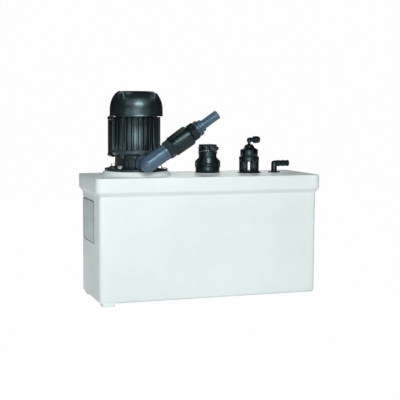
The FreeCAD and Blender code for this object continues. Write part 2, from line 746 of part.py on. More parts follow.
def head_gasket():
    """Flat gasket between the flange and the pad."""
    gasket = ring(FLANGE_R - 1, PUMP_OPENING_R + 1, PAD_TOP_Z, FLANGE_LOW_Z, PUMP_X)

    def hole(x, y):
        return cylinder(HEAD_BOLT_R + HOLE_CLEARANCE, PAD_TOP_Z - 1, FLANGE_LOW_Z + 1, x, y)

    holes = round_pattern(hole, HEAD_BOLT_CIRCLE_R, PATTERN_ANGLES, PUMP_X)
    return gasket.cut(holes + [elbow_relief()])


def head_lug(angle):
    """A thick lug for one flange bolt, with a web back to the head."""
    bolt_x, bolt_y = polar(HEAD_BOLT_CIRCLE_R, angle, PUMP_X)
    web = block(PUMP_X + HEAD_R - 6, PUMP_X + HEAD_BOLT_CIRCLE_R, -LUG_R, LUG_R, FLANGE_LOW_Z, LUG_TOP_Z)
    pad = cylinder(LUG_R, FLANGE_LOW_Z, LUG_TOP_Z, bolt_x, bolt_y)
    return turned(web, angle, PUMP_X).fuse(pad)


def head_recess(angle):
    """A shallow arched recess in the head's wall."""
    arch = sideways(cylinder(HEAD_RECESS_R, HEAD_R - HEAD_RECESS_DEPTH, HEAD_R + 5), PUMP_X, 0, PORT_Z)
    leg = block(PUMP_X + HEAD_R - HEAD_RECESS_DEPTH, PUMP_X + HEAD_R + 5, -HEAD_RECESS_R, HEAD_RECESS_R,
                LUG_TOP_Z + 1, PORT_Z)
    return turned(arch.fuse(leg), angle, PUMP_X)


def pump_head():
    """Cast head: base flange with four lugs, round body with cavity, and the delivery port at the front."""
    body = fused(
        cylinder(FLANGE_R, FLANGE_LOW_Z, FLANGE_TOP_Z, PUMP_X),
        cylinder(HEAD_R, FLANGE_LOW_Z, HEAD_TOP_Z, PUMP_X),
        *[head_lug(angle) for angle in PATTERN_ANGLES])
    body = body.cut([head_recess(angle) for angle in (-PATTERN_TURN, 90, 180 + PATTERN_TURN, 241, 299)])
    body = body.cut(elbow_relief())
    neck = forward(cylinder(PORT_NECK_R, 0, PORT_NECK_REACH), PORT_X, 0, PORT_Z)
    collar = forward(cylinder(PORT_COLLAR_R, 0, PORT_COLLAR_LENGTH), PORT_X, -PORT_NECK_REACH, PORT_Z)
    under = block(PUMP_X - HEAD_R, PUMP_X + HEAD_R, -KNEE_REACH, 0, 0, FLANGE_LOW_Z)
    collar = collar.cut(under)
    stub = forward(cylinder(SOCKET_R, 0, PORT_STUB_LENGTH), PORT_X, PORT_FACE_Y, PORT_Z)
    body = fused(body, neck, collar, stub)
    bore_end = PORT_FACE_Y - PORT_STUB_LENGTH - 1
    bore = forward(cylinder(PORT_BORE_R, 0, -RISER_OFFSET - bore_end), PORT_X, -RISER_OFFSET, PORT_Z)
    riser = cylinder(RISER_R + RUNNING_CLEARANCE, FLANGE_LOW_Z - 1, RISER_TOP_Z, PUMP_X, -RISER_OFFSET)
    rise = cylinder(RISER_BORE_R, FLANGE_LOW_Z, PORT_Z, PUMP_X, -RISER_OFFSET)
    seal_seat = cylinder(2 * PUMP_SHAFT_R, FLANGE_LOW_Z - 1, HEAD_FLOOR_Z, PUMP_X)
    cavity = cylinder(HEAD_CAVITY_R, HEAD_FLOOR_Z, HEAD_TOP_Z + 1, PUMP_X)

    def bolt_hole(x, y):
        return cylinder(HEAD_BOLT_R + HOLE_CLEARANCE, FLANGE_LOW_Z - 1, LUG_TOP_Z + 1, x, y)

    holes = round_pattern(bolt_hole, HEAD_BOLT_CIRCLE_R, PATTERN_ANGLES, PUMP_X)
    return body.cut([bore, riser, rise, seal_seat, cavity] + holes).removeSplitter()


def head_bolts():
    """Four hexagon screws with their washers."""
    def bolt(x, y):
        washer = cylinder(WASHER_R, LUG_TOP_Z, LUG_TOP_Z + WASHER_THICKNESS, x, y)
        head_low = LUG_TOP_Z + WASHER_THICKNESS
        head = hexagon(HEAD_BOLT_HEX, head_low, head_low + HEAD_BOLT_HEX_HEIGHT, x, y, 11)
        shank = cylinder(HEAD_BOLT_R, LUG_TOP_Z - HEAD_BOLT_DEPTH, LUG_TOP_Z, x, y)
        return fused(washer, head, shank)

    return Part.makeCompound(round_pattern(bolt, HEAD_BOLT_CIRCLE_R, PATTERN_ANGLES, PUMP_X))


# Wet end

def column_tube():
    """Tube round the pump shaft, flanged under the head."""
    flange_low = FLANGE_LOW_Z - COLUMN_FLANGE_THICKNESS
    profile = [
        (COLUMN_BORE_R, COLUMN_LOW_Z),
        (COLUMN_R, COLUMN_LOW_Z),
        (COLUMN_R, flange_low),
        (COLUMN_FLANGE_R, flange_low),
        (COLUMN_FLANGE_R, FLANGE_LOW_Z),
        (COLUMN_BORE_R, FLANGE_LOW_Z),
    ]
    return revolved(profile, PUMP_X)


def riser_pipe():
    """Pipe that brings the brine up from the casing to the head."""
    return ring(RISER_R, RISER_BORE_R, CASING_TOP_Z, RISER_TOP_Z - HOLE_CLEARANCE, PUMP_X, -RISER_OFFSET)


def volute_outline(radius, z_low, z_high):
    """Two overlapping rounds, the second set off towards the outlet, that widen like a volute."""
    first = cylinder(radius, z_low, z_high, PUMP_X)
    second = cylinder(radius - 1, z_low, z_high, PUMP_X + VOLUTE_SHIFT_X, VOLUTE_SHIFT_Y)
    return first.fuse(second)


def casing_lugs(z_low, z_high):
    """The lugs that take the casing screws."""
    def lug(x, y):
        return cylinder(CASING_SCREW_LUG_R, z_low, z_high, x, y)

    return round_pattern(lug, CASING_SCREW_CIRCLE_R, PATTERN_ANGLES, PUMP_X)


def casing_screw_holes(z_low, z_high):
    """Clearance for the casing screws."""
    def hole(x, y):
        return cylinder(CASING_SCREW_R, z_low, z_high, x, y)

    return round_pattern(hole, CASING_SCREW_CIRCLE_R, PATTERN_ANGLES, PUMP_X)


def volute_casing():
    """Pump casing with the column seat and the riser tower on top."""
    body = volute_outline(VOLUTE_R, CASING_LOW_Z, CASING_TOP_Z)
    boss = cylinder(VOLUTE_BOSS_R, CASING_TOP_Z, COLUMN_LOW_Z, PUMP_X)
    tower = cylinder(TOWER_R, CHAMBER_TOP_Z, TOWER_TOP_Z, PUMP_X, -RISER_OFFSET)
    body = fused(body, boss, tower, *casing_lugs(CASING_LOW_Z, CASING_LOW_Z + CASING_LUG_HEIGHT))
    chamber = volute_outline(VOLUTE_R - VOLUTE_WALL, CASING_LOW_Z - 1, CHAMBER_TOP_Z)
    bush_seat = cylinder(BUSH_R, CHAMBER_TOP_Z - 1, COLUMN_LOW_Z + 1, PUMP_X)
    rise = cylinder(RISER_BORE_R, CHAMBER_TOP_Z - 2, CASING_TOP_Z, PUMP_X, -RISER_OFFSET)
    socket = cylinder(RISER_R + RUNNING_CLEARANCE, CASING_TOP_Z, TOWER_TOP_Z + 1, PUMP_X, -RISER_OFFSET)
    screw_holes = casing_screw_holes(CASING_LOW_Z - 1, CASING_LOW_Z + CASING_LUG_HEIGHT - 1)
    return body.cut([chamber, bush_seat, rise, socket] + screw_holes).removeSplitter()


def suction_cover():
    """Bottom cover with the inlet and a slotted strainer skirt."""
    plate = volute_outline(VOLUTE_R, COVER_LOW_Z, CASING_LOW_Z)
    skirt = ring(STRAINER_R, STRAINER_R - STRAINER_WALL, STRAINER_LOW_Z, COVER_LOW_Z, PUMP_X)
    slot = block(PUMP_X + STRAINER_R / 2, PUMP_X + STRAINER_R + 2, -STRAINER_SLOT_WIDTH / 2,
                 STRAINER_SLOT_WIDTH / 2, STRAINER_LOW_Z - 1, COVER_LOW_Z - STRAINER_WALL)
    slots = [turned(slot, 360.0 / STRAINER_SLOTS * i, PUMP_X) for i in range(STRAINER_SLOTS)]
    body = fused(plate, skirt.cut(slots), *casing_lugs(COVER_LOW_Z, CASING_LOW_Z))
    inlet = cylinder(COVER_INLET_R, COVER_LOW_Z - 1, CASING_LOW_Z + 1, PUMP_X)
    return body.cut([inlet] + casing_screw_holes(COVER_LOW_Z - 1, CASING_LOW_Z + 1)).removeSplitter()


def casing_screws():
    """Four screws that hold the cover to the casing."""
    def screw(x, y):
        head = cylinder(CASING_SCREW_HEAD_R, COVER_LOW_Z - CASING_SCREW_HEAD_HEIGHT, COVER_LOW_Z, x, y)
        shank = cylinder(CASING_SCREW_R, COVER_LOW_Z, CASING_LOW_Z + CASING_LUG_HEIGHT - 2, x, y)
        return fused(head, shank)

    return Part.makeCompound(round_pattern(screw, CASING_SCREW_CIRCLE_R, PATTERN_ANGLES, PUMP_X))


def lower_bush():
    """Sleeve bearing in the casing top."""
    return ring(BUSH_R, PUMP_SHAFT_R + RUNNING_CLEARANCE, COLUMN_LOW_Z - BUSH_LENGTH, COLUMN_LOW_Z, PUMP_X)


def shaft_seal():
    """Lip seal where the shaft passes the head's floor."""
    return ring(2 * PUMP_SHAFT_R, PUMP_SHAFT_R + RUNNING_CLEARANCE, FLANGE_LOW_Z, HEAD_FLOOR_Z, PUMP_X)


# Pump rotor

def pump_shaft():
    """Long shaft from the coupling down to the impeller."""
    profile = [
        (0, IMPELLER_LOW_Z - IMPELLER_NUT_HEIGHT - 1),
        (SHAFT_END_R, IMPELLER_LOW_Z - IMPELLER_NUT_HEIGHT - 1),
        (SHAFT_END_R, IMPELLER_LOW_Z),
        (PUMP_SHAFT_R, IMPELLER_LOW_Z),
        (PUMP_SHAFT_R, COUPLING_MID_Z),
        (0, COUPLING_MID_Z),
    ]
    return revolved(profile, PUMP_X)


def impeller_vane():
    """One curved vane, as a slice of a ring between the hub and the rim."""
    x, y = IMPELLER_VANE_CENTRE
    shroud_low = IMPELLER_LOW_Z + IMPELLER_HEIGHT - IMPELLER_SHROUD
    vane = ring(IMPELLER_VANE_BEND_R, IMPELLER_VANE_BEND_R - IMPELLER_VANE_THICKNESS, IMPELLER_LOW_Z,
                shroud_low, PUMP_X + x, y)
    keep = ring(IMPELLER_R, IMPELLER_HUB_R - 1, IMPELLER_LOW_Z, shroud_low, PUMP_X)
    half = block(PUMP_X, PUMP_X + IMPELLER_R + 1, 0, IMPELLER_R + 1, IMPELLER_LOW_Z, shroud_low)
    return vane.common(keep).common(half)


def impeller():
    """Half-open impeller with curved vanes under its shroud."""
    top = IMPELLER_LOW_Z + IMPELLER_HEIGHT
    hub = cylinder(IMPELLER_HUB_R, IMPELLER_LOW_Z, top, PUMP_X)
    shroud = cylinder(IMPELLER_R, top - IMPELLER_SHROUD, top, PUMP_X)
    vanes = [turned(impeller_vane(), 360.0 / IMPELLER_VANES * i, PUMP_X) for i in range(IMPELLER_VANES)]
    body = fused(hub, shroud, *vanes)
    return body.cut(cylinder(PUMP_SHAFT_R, IMPELLER_LOW_Z - 1, top + 1, PUMP_X))


def impeller_nut():
    """Hexagon nut under the impeller."""
    low = IMPELLER_LOW_Z - IMPELLER_NUT_HEIGHT
    nut = hexagon(IMPELLER_NUT_HEX, low, IMPELLER_LOW_Z, PUMP_X)
    return nut.cut(cylinder(SHAFT_END_R, low - 1, IMPELLER_LOW_Z + 1, PUMP_X))


def shaft_coupling():
    """Sleeve that joins the motor shaft to the pump shaft."""
    profile = [
        (PUMP_SHAFT_R, COUPLING_LOW_Z),
        (COUPLING_R, COUPLING_LOW_Z),
        (COUPLING_R, COUPLING_TOP_Z),
        (MOTOR_SHAFT_END_R, COUPLING_TOP_Z),
        (MOTOR_SHAFT_END_R, COUPLING_MID_Z),
        (PUMP_SHAFT_R, COUPLING_MID_Z),
    ]
    return revolved(profile, PUMP_X)


# Motor

def tie_bolt_holes(z_low, z_high):
    """Holes for the long motor screws."""
    def hole(x, y):
        return cylinder(TIE_BOLT_R, z_low, z_high, x, y)

    return round_pattern(hole, TIE_BOLT_CIRCLE_R, PATTERN_ANGLES, PUMP_X)


def lower_end_shield():
    """Motor flange with eight soft flats, four tabs and the lower bearing's seat."""
    hub_top = LOWER_BEARING_Z + BEARING_WIDTH
    profile = [
        (CORE_SEAT_R, HEAD_TOP_Z),
        (SHIELD_R - SHIELD_CHAMFER, HEAD_TOP_Z),
        (SHIELD_R, HEAD_TOP_Z + SHIELD_CHAMFER),
        (SHIELD_R, SHIELD_TOP_Z),
        (BEARING_R + 3, SHIELD_TOP_Z),
        (BEARING_R + 3, hub_top),
        (BEARING_R, hub_top),
        (BEARING_R, LOWER_BEARING_Z),
        (CORE_SEAT_R, LOWER_BEARING_Z),
    ]
    body = revolved(profile, PUMP_X)
    points = []
    for i in range(8):
        corner = polar(SHIELD_FLATS / 2 / math.cos(math.radians(22.5)), 22.5 + PATTERN_TURN + 45 * i, PUMP_X)
        points.append(Vector(*corner, HEAD_TOP_Z - 1))
    body = body.common(polygon_prism(points, Vector(0, 0, SHIELD_THICKNESS + BEARING_WIDTH)))
    tab_low = HEAD_TOP_Z - TAB_DROP
    tab = block(PUMP_X + HEAD_R, PUMP_X + TAB_R, -TAB_WIDTH / 2, TAB_WIDTH / 2, tab_low, SHIELD_TOP_Z)
    head_space = cylinder(HEAD_R + HOLE_CLEARANCE, tab_low - 1, HEAD_TOP_Z, PUMP_X)
    tabs = [turned(tab, angle, PUMP_X).cut(head_space) for angle in PATTERN_ANGLES]
    return fused(body, *tabs).cut(tie_bolt_holes(tab_low - 1, SHIELD_TOP_Z + 1))


def fin(angle):
    """One straight cooling fin with a flat face."""
    shape = block(PUMP_X + HOUSING_BORE_R + 1, PUMP_X + FIN_R, -FIN_WIDTH / 2, FIN_WIDTH / 2,
                  SHIELD_TOP_Z, HOUSING_TOP_Z)
    return turned(shape, angle, PUMP_X)


def stator_housing():
    """Finned barrel with a flat saddle at the back for the terminal box."""
    barrel = cylinder(HOUSING_R, SHIELD_TOP_Z, HOUSING_TOP_Z, PUMP_X)
    step = 360.0 / FIN_COUNT
    fins = [fin(PATTERN_ANGLES[0] + step * (i + 0.5)) for i in range(FIN_COUNT)]
    body = fused(barrel, *fins)
    half = BOX_SADDLE_WIDTH / 2
    middle = SHIELD_TOP_Z + HOUSING_LENGTH / 2
    low = middle - BOX_SADDLE_HEIGHT / 2
    high = middle + BOX_SADDLE_HEIGHT / 2
    clear = block(PUMP_X - half, PUMP_X + half, HOUSING_BORE_R, BOX_FRONT_Y + 1, SHIELD_TOP_Z - 1,
                  HOUSING_TOP_Z + 1).cut(cylinder(HOUSING_R, SHIELD_TOP_Z - 2, HOUSING_TOP_Z + 2, PUMP_X))
    saddle = block(PUMP_X - half, PUMP_X + half, HOUSING_BORE_R / 2, BOX_FRONT_Y, low, high)
    body = fused(body.cut(clear), saddle)
    bore = cylinder(HOUSING_BORE_R, SHIELD_TOP_Z - 1, HOUSING_TOP_Z + 1, PUMP_X)
    return body.cut(bore).removeSplitter()


def tie_bolts():
    """Four long screws from under the lower shield's tabs up to the upper shield."""
    head_top = HEAD_TOP_Z - TAB_DROP

    def bolt(x, y):
        head = cylinder(TIE_BOLT_HEAD_R, head_top - TIE_BOLT_HEAD_HEIGHT, head_top, x, y)
        shank = cylinder(TIE_BOLT_R, head_top, HOUSING_TOP_Z + TIE_BOLT_GRIP, x, y)
        return fused(head, shank)

    return Part.makeCompound(round_pattern(bolt, TIE_BOLT_CIRCLE_R, PATTERN_ANGLES, PUMP_X))


def stator_core():
    """Laminated stator pack."""
    return ring(HOUSING_BORE_R, STATOR_BORE_R, STATOR_LOW_Z, STATOR_TOP_Z, PUMP_X)


def stator_windings():
    """The two end turns of the winding."""
    low = ring(WINDING_OUTER_R, WINDING_INNER_R, STATOR_LOW_Z - WINDING_LENGTH, STATOR_LOW_Z, PUMP_X)
    high = ring(WINDING_OUTER_R, WINDING_INNER_R, STATOR_TOP_Z, STATOR_TOP_Z + WINDING_LENGTH, PUMP_X)
    rounded = []
    for coil, z in ((low, STATOR_LOW_Z - WINDING_LENGTH), (high, STATOR_TOP_Z + WINDING_LENGTH)):
        rounded.append(coil.makeFillet(WINDING_LENGTH / 3, level_edges(coil, z)))
    return Part.makeCompound(rounded)


def bearing(z_low):
    """A ball bearing as one ring, with a groove in each face between its races."""
    z_high = z_low + BEARING_WIDTH
    body = ring(BEARING_R, JOURNAL_R + RUNNING_CLEARANCE, z_low, z_high, PUMP_X)
    low = ring(RACE_GROOVE_OUTER_R, RACE_GROOVE_INNER_R, z_low - 1, z_low + RACE_GROOVE_DEPTH, PUMP_X)
    high = ring(RACE_GROOVE_OUTER_R, RACE_GROOVE_INNER_R, z_high - RACE_GROOVE_DEPTH, z_high + 1, PUMP_X)
    return body.cut([low, high])


def upper_end_shield():
    """Top bearing carrier with four posts for the fan cowl."""
    profile = [
        (FAN_SHAFT_R + 2, UPPER_BEARING_Z + BEARING_WIDTH),
        (BEARING_R, UPPER_BEARING_Z + BEARING_WIDTH),
        (BEARING_R, HOUSING_TOP_Z),
        (HOUSING_R, HOUSING_TOP_Z),
        (HOUSING_R, HOUSING_TOP_Z + UPPER_SHIELD_THICKNESS),
        (UPPER_HUB_R + 4, HOUSING_TOP_Z + UPPER_SHIELD_THICKNESS),
        (UPPER_HUB_R, UPPER_HUB_TOP_Z),
        (FAN_SHAFT_R + 2, UPPER_HUB_TOP_Z),
    ]
    body = revolved(profile, PUMP_X)

    def post(x, y):
        return cylinder(COWL_POST_R, HOUSING_TOP_Z, UPPER_HUB_TOP_Z, x, y)

    def screw_hole(x, y):
        return cylinder(COWL_SCREW_R, UPPER_HUB_TOP_Z - COWL_SCREW_GRIP, UPPER_HUB_TOP_Z + 1, x, y)

    posts = round_pattern(post, COWL_BOSS_CIRCLE_R, PATTERN_ANGLES, PUMP_X)
    holes = round_pattern(screw_hole, COWL_BOSS_CIRCLE_R, PATTERN_ANGLES, PUMP_X)
    holes += tie_bolt_holes(HOUSING_TOP_Z - 1, HOUSING_TOP_Z + TIE_BOLT_GRIP)
    return fused(body, *posts).cut(holes)


def motor_shaft():
    """Stepped shaft through both bearings, from the coupling up to the fan."""
    seat_low = STATOR_LOW_Z - WINDING_LENGTH / 2
    seat_high = UPPER_BEARING_Z - 1
    profile = [
        (0, COUPLING_MID_Z),
        (MOTOR_SHAFT_END_R, COUPLING_MID_Z),
        (MOTOR_SHAFT_END_R, COUPLING_TOP_Z),
        (JOURNAL_R, COUPLING_TOP_Z),
        (JOURNAL_R, seat_low),
        (CORE_SEAT_R, seat_low),
        (CORE_SEAT_R, seat_high),
        (JOURNAL_R, seat_high),
        (JOURNAL_R, UPPER_BEARING_Z + BEARING_WIDTH),
        (FAN_SHAFT_R, UPPER_BEARING_Z + BEARING_WIDTH),
        (FAN_SHAFT_R, FAN_TOP_Z),
        (0, FAN_TOP_Z),
    ]
    return revolved(profile, PUMP_X)


def rotor_core():
    """Laminated rotor pack with its end rings."""
    return ring(ROTOR_R, CORE_SEAT_R, STATOR_LOW_Z - ROTOR_OVERHANG, STATOR_TOP_Z + ROTOR_OVERHANG, PUMP_X)


def cooling_fan():
    """Radial fan on the top end of the shaft."""
    hub = ring(FAN_HUB_R, FAN_SHAFT_R, FAN_LOW_Z, FAN_TOP_Z, PUMP_X)
    disc = ring(FAN_R, FAN_SHAFT_R, FAN_LOW_Z, FAN_LOW_Z + FAN_DISC_THICKNESS, PUMP_X)
    blade = block(PUMP_X + FAN_HUB_R - 1, PUMP_X + FAN_R - 0.3, -FAN_BLADE_THICKNESS / 2,
                  FAN_BLADE_THICKNESS / 2, FAN_LOW_Z, FAN_TOP_Z)
    blades = [turned(blade, 360.0 / FAN_BLADES * i, PUMP_X) for i in range(FAN_BLADES)]
    return fused(hub, disc, *blades)


def cowl_profile(inset):
    """Outline of the domed cowl, from its mouth to its flat top, as (radius, height) corners."""
    points = [(COWL_R - inset, COWL_LOW_Z)]
    for height, radius in COWL_SHOULDER:
        drop = 2 * inset * (1 - radius / COWL_R)
        points.append((radius - inset, COWL_LOW_Z + height - drop))
    points.append((COWL_TOP_R - inset * 0.6, COWL_TOP_Z - inset))
    return points


def dome(inset, z_low):
    """The cowl's solid form: a turned outline with a smooth curve for its shoulder."""
    corners = cowl_profile(inset)
    curve = Part.BSplineCurve()
    curve.interpolate([Vector(radius, 0, height) for radius, height in corners[1:]])
    start = Vector(corners[0][0], 0, z_low)
    top = Vector(0, 0, COWL_TOP_Z - inset)
    foot_point = Vector(0, 0, z_low)
    shoulder_start = Vector(corners[1][0], 0, corners[1][1])
    shoulder_end = Vector(corners[-1][0], 0, corners[-1][1])
    wire = Part.Wire([
        Part.LineSegment(foot_point, start).toShape(),
        Part.LineSegment(start, shoulder_start).toShape(),
        curve.toShape(),
        Part.LineSegment(shoulder_end, top).toShape(),
        Part.LineSegment(top, foot_point).toShape(),
    ])
    solid = Part.Face(wire).revolve(Vector(0, 0, 0), Vector(0, 0, 1), 360)
    if solid.Volume < 0:
        solid.reverse()
    solid.translate(Vector(PUMP_X, 0, 0))
    return solid


def grille_openings():
    """Concentric slots in the cowl's flat top, with ribs left between them."""
    slots = []
    for i in range(GRILLE_RINGS):
        inner = GRILLE_HUB_R + GRILLE_PITCH * i
        slots.append(ring(inner + GRILLE_SLOT, inner, COWL_TOP_Z - 2 * COWL_WALL, COWL_TOP_Z + 1, PUMP_X))
    rib = block(PUMP_X, PUMP_X + COWL_TOP_R, -GRILLE_RIB_WIDTH / 2, GRILLE_RIB_WIDTH / 2,
                COWL_TOP_Z - 3 * COWL_WALL, COWL_TOP_Z + 2)
    ribs = [turned(rib, PATTERN_ANGLES[0] + 360.0 / GRILLE_RIBS * i, PUMP_X) for i in range(GRILLE_RIBS)]
    return [slot.cut(ribs) for slot in slots]


def fan_cowl():
    """Domed fan cover with a grille in its top and four screw bosses in its shoulder."""
    shell = dome(0, COWL_LOW_Z)
    lip = ring(COWL_LIP_R, COWL_R - 1, COWL_LOW_Z, COWL_LOW_Z + COWL_LIP_HEIGHT, PUMP_X)

    def boss(x, y):
        return cylinder(COWL_BOSS_R, UPPER_HUB_TOP_Z, COWL_BOSS_TOP_Z, x, y)

    bosses = round_pattern(boss, COWL_BOSS_CIRCLE_R, PATTERN_ANGLES, PUMP_X)
    outer = fused(shell, lip, *bosses)
    hollow = dome(COWL_WALL, COWL_LOW_Z - 1).cut(bosses)
    body = outer.cut(hollow).cut(grille_openings())

    def screw_way(x, y):
        shank = cylinder(COWL_SCREW_R, UPPER_HUB_TOP_Z - 1, COWL_BOSS_TOP_Z, x, y)
        seat = COWL_BOSS_TOP_Z - COWL_SCREW_HEAD_HEIGHT - 1
        return shank.fuse(cylinder(COWL_SCREW_HEAD_R + HOLE_CLEARANCE, seat, COWL_TOP_Z + 5, x, y))

    return body.cut(round_pattern(screw_way, COWL_BOSS_CIRCLE_R, PATTERN_ANGLES, PUMP_X))


def cowl_screws():
    """Four long screws through the cowl's bosses."""
    seat = COWL_BOSS_TOP_Z - COWL_SCREW_HEAD_HEIGHT - 1

    def screw(x, y):
        head = cylinder(COWL_SCREW_HEAD_R, seat, seat + COWL_SCREW_HEAD_HEIGHT, x, y)
        slot = block(x - COWL_SCREW_HEAD_R, x + COWL_SCREW_HEAD_R, y - 0.5, y + 0.5,
                     seat + COWL_SCREW_HEAD_HEIGHT - 1.2, seat + COWL_SCREW_HEAD_HEIGHT + 1)
        shank = cylinder(COWL_SCREW_R, UPPER_HUB_TOP_Z - COWL_SCREW_GRIP, seat, x, y)
        return fused(head.cut(slot), shank)

    return Part.makeCompound(round_pattern(screw, COWL_BOSS_CIRCLE_R, PATTERN_ANGLES, PUMP_X))


# Terminal box

def ear_places():
    """The x and z of the four lid screws."""
    x = BOX_WIDTH / 2 + EAR_OVERHANG - EAR_R
    z_low = BOX_LOW_Z - EAR_OVERHANG + EAR_R
    z_high = BOX_TOP_Z + EAR_OVERHANG - EAR_R
    return [(PUMP_X + side * x, z) for side in (-1, 1) for z in (z_low, z_high)]


def box_form(width, height, y_low, y_high, corner):
    """A block with rounded corners whose length runs backwards."""
    plan = rounded_block(width, height, corner, 0, y_high - y_low)
    return laid(plan, Vector(PUMP_X, y_low, (BOX_LOW_Z + BOX_TOP_Z) / 2), -90, Vector(1, 0, 0))


def back_cylinder(radius, y_low, y_high, x, z):
    """A cylinder that runs backwards, along +Y."""
    return Part.makeCylinder(radius, y_high - y_low, Vector(x, y_low, z), Vector(0, 1, 0))


def gland_place():
    """The y and z of the cable entry in the box's right side."""
    return BOX_FRONT_Y + BOX_DEPTH / 2, (BOX_LOW_Z + BOX_TOP_Z) / 2 - GLAND_DROP


def terminal_box():
    """Open box on the motor's saddle, with four screw posts and a cable entry."""
    outer = box_form(BOX_WIDTH, BOX_HEIGHT, BOX_FRONT_Y, BOX_BACK_Y, BOX_CORNER_R)
    hollow = box_form(BOX_WIDTH - 2 * BOX_WALL, BOX_HEIGHT - 2 * BOX_WALL, BOX_FRONT_Y + BOX_WALL,
                      BOX_BACK_Y + 1, BOX_CORNER_R - BOX_WALL)
    posts = [back_cylinder(EAR_R, BOX_FRONT_Y, BOX_BACK_Y, x, z) for x, z in ear_places()]
    holes = [back_cylinder(LID_SCREW_R, BOX_BACK_Y - LID_SCREW_GRIP, BOX_BACK_Y + 1, x, z)
             for x, z in ear_places()]
    y, z = gland_place()
    entry = sideways(cylinder(GLAND_THREAD_R, 0, BOX_WALL * 3), PUMP_X + BOX_WIDTH / 2 - BOX_WALL * 2, y, z)
    return outer.cut(hollow).fuse(posts).removeSplitter().cut(holes + [entry])


def terminal_lid():
    """Deep lid with rounded ears at its corners."""
    lid_back = BOX_BACK_Y + LID_DEPTH
    outer = box_form(BOX_WIDTH + 2 * LID_OVERHANG, BOX_HEIGHT + 2 * LID_OVERHANG, BOX_BACK_Y, lid_back,
                     BOX_CORNER_R)
    back_edges = [e for e in outer.Edges if abs(e.BoundBox.YMin - lid_back) < 1e-4]
    outer = outer.makeFillet(BOX_CORNER_R / 2, back_edges)
    hollow = box_form(BOX_WIDTH - 2 * BOX_WALL, BOX_HEIGHT - 2 * BOX_WALL, BOX_BACK_Y - 1,
                      lid_back - BOX_WALL, BOX_CORNER_R - BOX_WALL)
    ears = [back_cylinder(EAR_R, BOX_BACK_Y, lid_back - BOX_CORNER_R / 2, x, z) for x, z in ear_places()]
    seat = lid_back - BOX_CORNER_R / 2 - LID_SCREW_HEAD_HEIGHT
    holes = [back_cylinder(LID_SCREW_R, BOX_BACK_Y - 1, seat, x, z) for x, z in ear_places()]
    seats = [back_cylinder(LID_SCREW_HEAD_R + HOLE_CLEARANCE, seat, lid_back + 1, x, z)
             for x, z in ear_places()]
    return outer.cut(hollow).fuse(ears).removeSplitter().cut(holes + seats)


def lid_screws():
    """Four screws through the lid's ears."""
    seat = BOX_BACK_Y + LID_DEPTH - BOX_CORNER_R / 2 - LID_SCREW_HEAD_HEIGHT

    def screw(x, z):
        head = back_cylinder(LID_SCREW_HEAD_R, seat, seat + LID_SCREW_HEAD_HEIGHT, x, z)
        shank = back_cylinder(LID_SCREW_R, BOX_BACK_Y - LID_SCREW_GRIP, seat, x, z)
        return fused(head, shank)

    return Part.makeCompound([screw(x, z) for x, z in ear_places()])


def terminal_block():
    """Terminal block with three studs on the box's inner wall."""
    y_low = BOX_FRONT_Y + BOX_WALL
    middle = (BOX_LOW_Z + BOX_TOP_Z) / 2
    body = block(PUMP_X - BLOCK_WIDTH / 2, PUMP_X + BLOCK_WIDTH / 2, y_low, y_low + BLOCK_DEPTH,
                 middle - BLOCK_HEIGHT / 2, middle + BLOCK_HEIGHT / 2)
    studs = [back_cylinder(STUD_R, y_low + BLOCK_DEPTH, y_low + BLOCK_DEPTH + STUD_LENGTH, PUMP_X + x, middle)
             for x in (-BLOCK_WIDTH / 3, 0, BLOCK_WIDTH / 3)]
    return fused(body, *studs)


def cable_gland():
    """Cable gland in the box's right side: thread, hexagon and domed nut round one bore."""
    thread = cylinder(GLAND_THREAD_R, -BOX_WALL - 2, 0)
    flats = hexagon(GLAND_HEX, 0, GLAND_HEX_LENGTH)
    dome_end = GLAND_HEX_LENGTH + GLAND_DOME_LENGTH
    nut = cylinder(GLAND_DOME_R, GLAND_HEX_LENGTH, dome_end)
    nut = nut.makeFillet(GLAND_DOME_R / 3, level_edges(nut, dome_end))
    body = fused(thread, flats, nut).cut(cylinder(GLAND_BORE_R, -BOX_WALL - 3, dome_end + 1))
    y, z = gland_place()
    return sideways(body, PUMP_X + BOX_WIDTH / 2, y, z)


# Delivery line

def delivery_elbow():
    """Round-kneed pipe elbow with a socket at each end."""
    leg = KNEE_REACH + PORT_FACE_Y
    inlet_leg = forward(cylinder(ELBOW_R, 0, leg), PORT_X, PORT_FACE_Y, PORT_Z)
    inlet_bead = forward(cylinder(ELBOW_BEAD_R, 0, ELBOW_BEAD_LENGTH), PORT_X, PORT_FACE_Y, PORT_Z)
    knee = Part.makeSphere(ELBOW_R, Vector(PORT_X, -KNEE_REACH, PORT_Z))
    outlet_leg = on_line(cylinder(ELBOW_R, 0, ELBOW_LEG))
    outlet_bead = on_line(cylinder(ELBOW_BEAD_R, ELBOW_LEG - ELBOW_BEAD_LENGTH, ELBOW_LEG))
    body = fused(inlet_leg, inlet_bead, knee, outlet_leg, outlet_bead)
    socket = forward(cylinder(SOCKET_R, -1, PORT_STUB_LENGTH), PORT_X, PORT_FACE_Y, PORT_Z)
    way_in = forward(cylinder(ELBOW_BORE_R, 0, leg), PORT_X, PORT_FACE_Y, PORT_Z)
    inner_knee = Part.makeSphere(ELBOW_BORE_R, Vector(PORT_X, -KNEE_REACH, PORT_Z))
    way_out = on_line(cylinder(ELBOW_BORE_R, 0, ELBOW_LEG))
    out_socket = on_line(cylinder(SOCKET_R, ELBOW_LEG - SOCKET_DEPTH, ELBOW_LEG + 1))
    return body.cut([socket, way_in, inner_knee, way_out, out_socket]).removeSplitter()


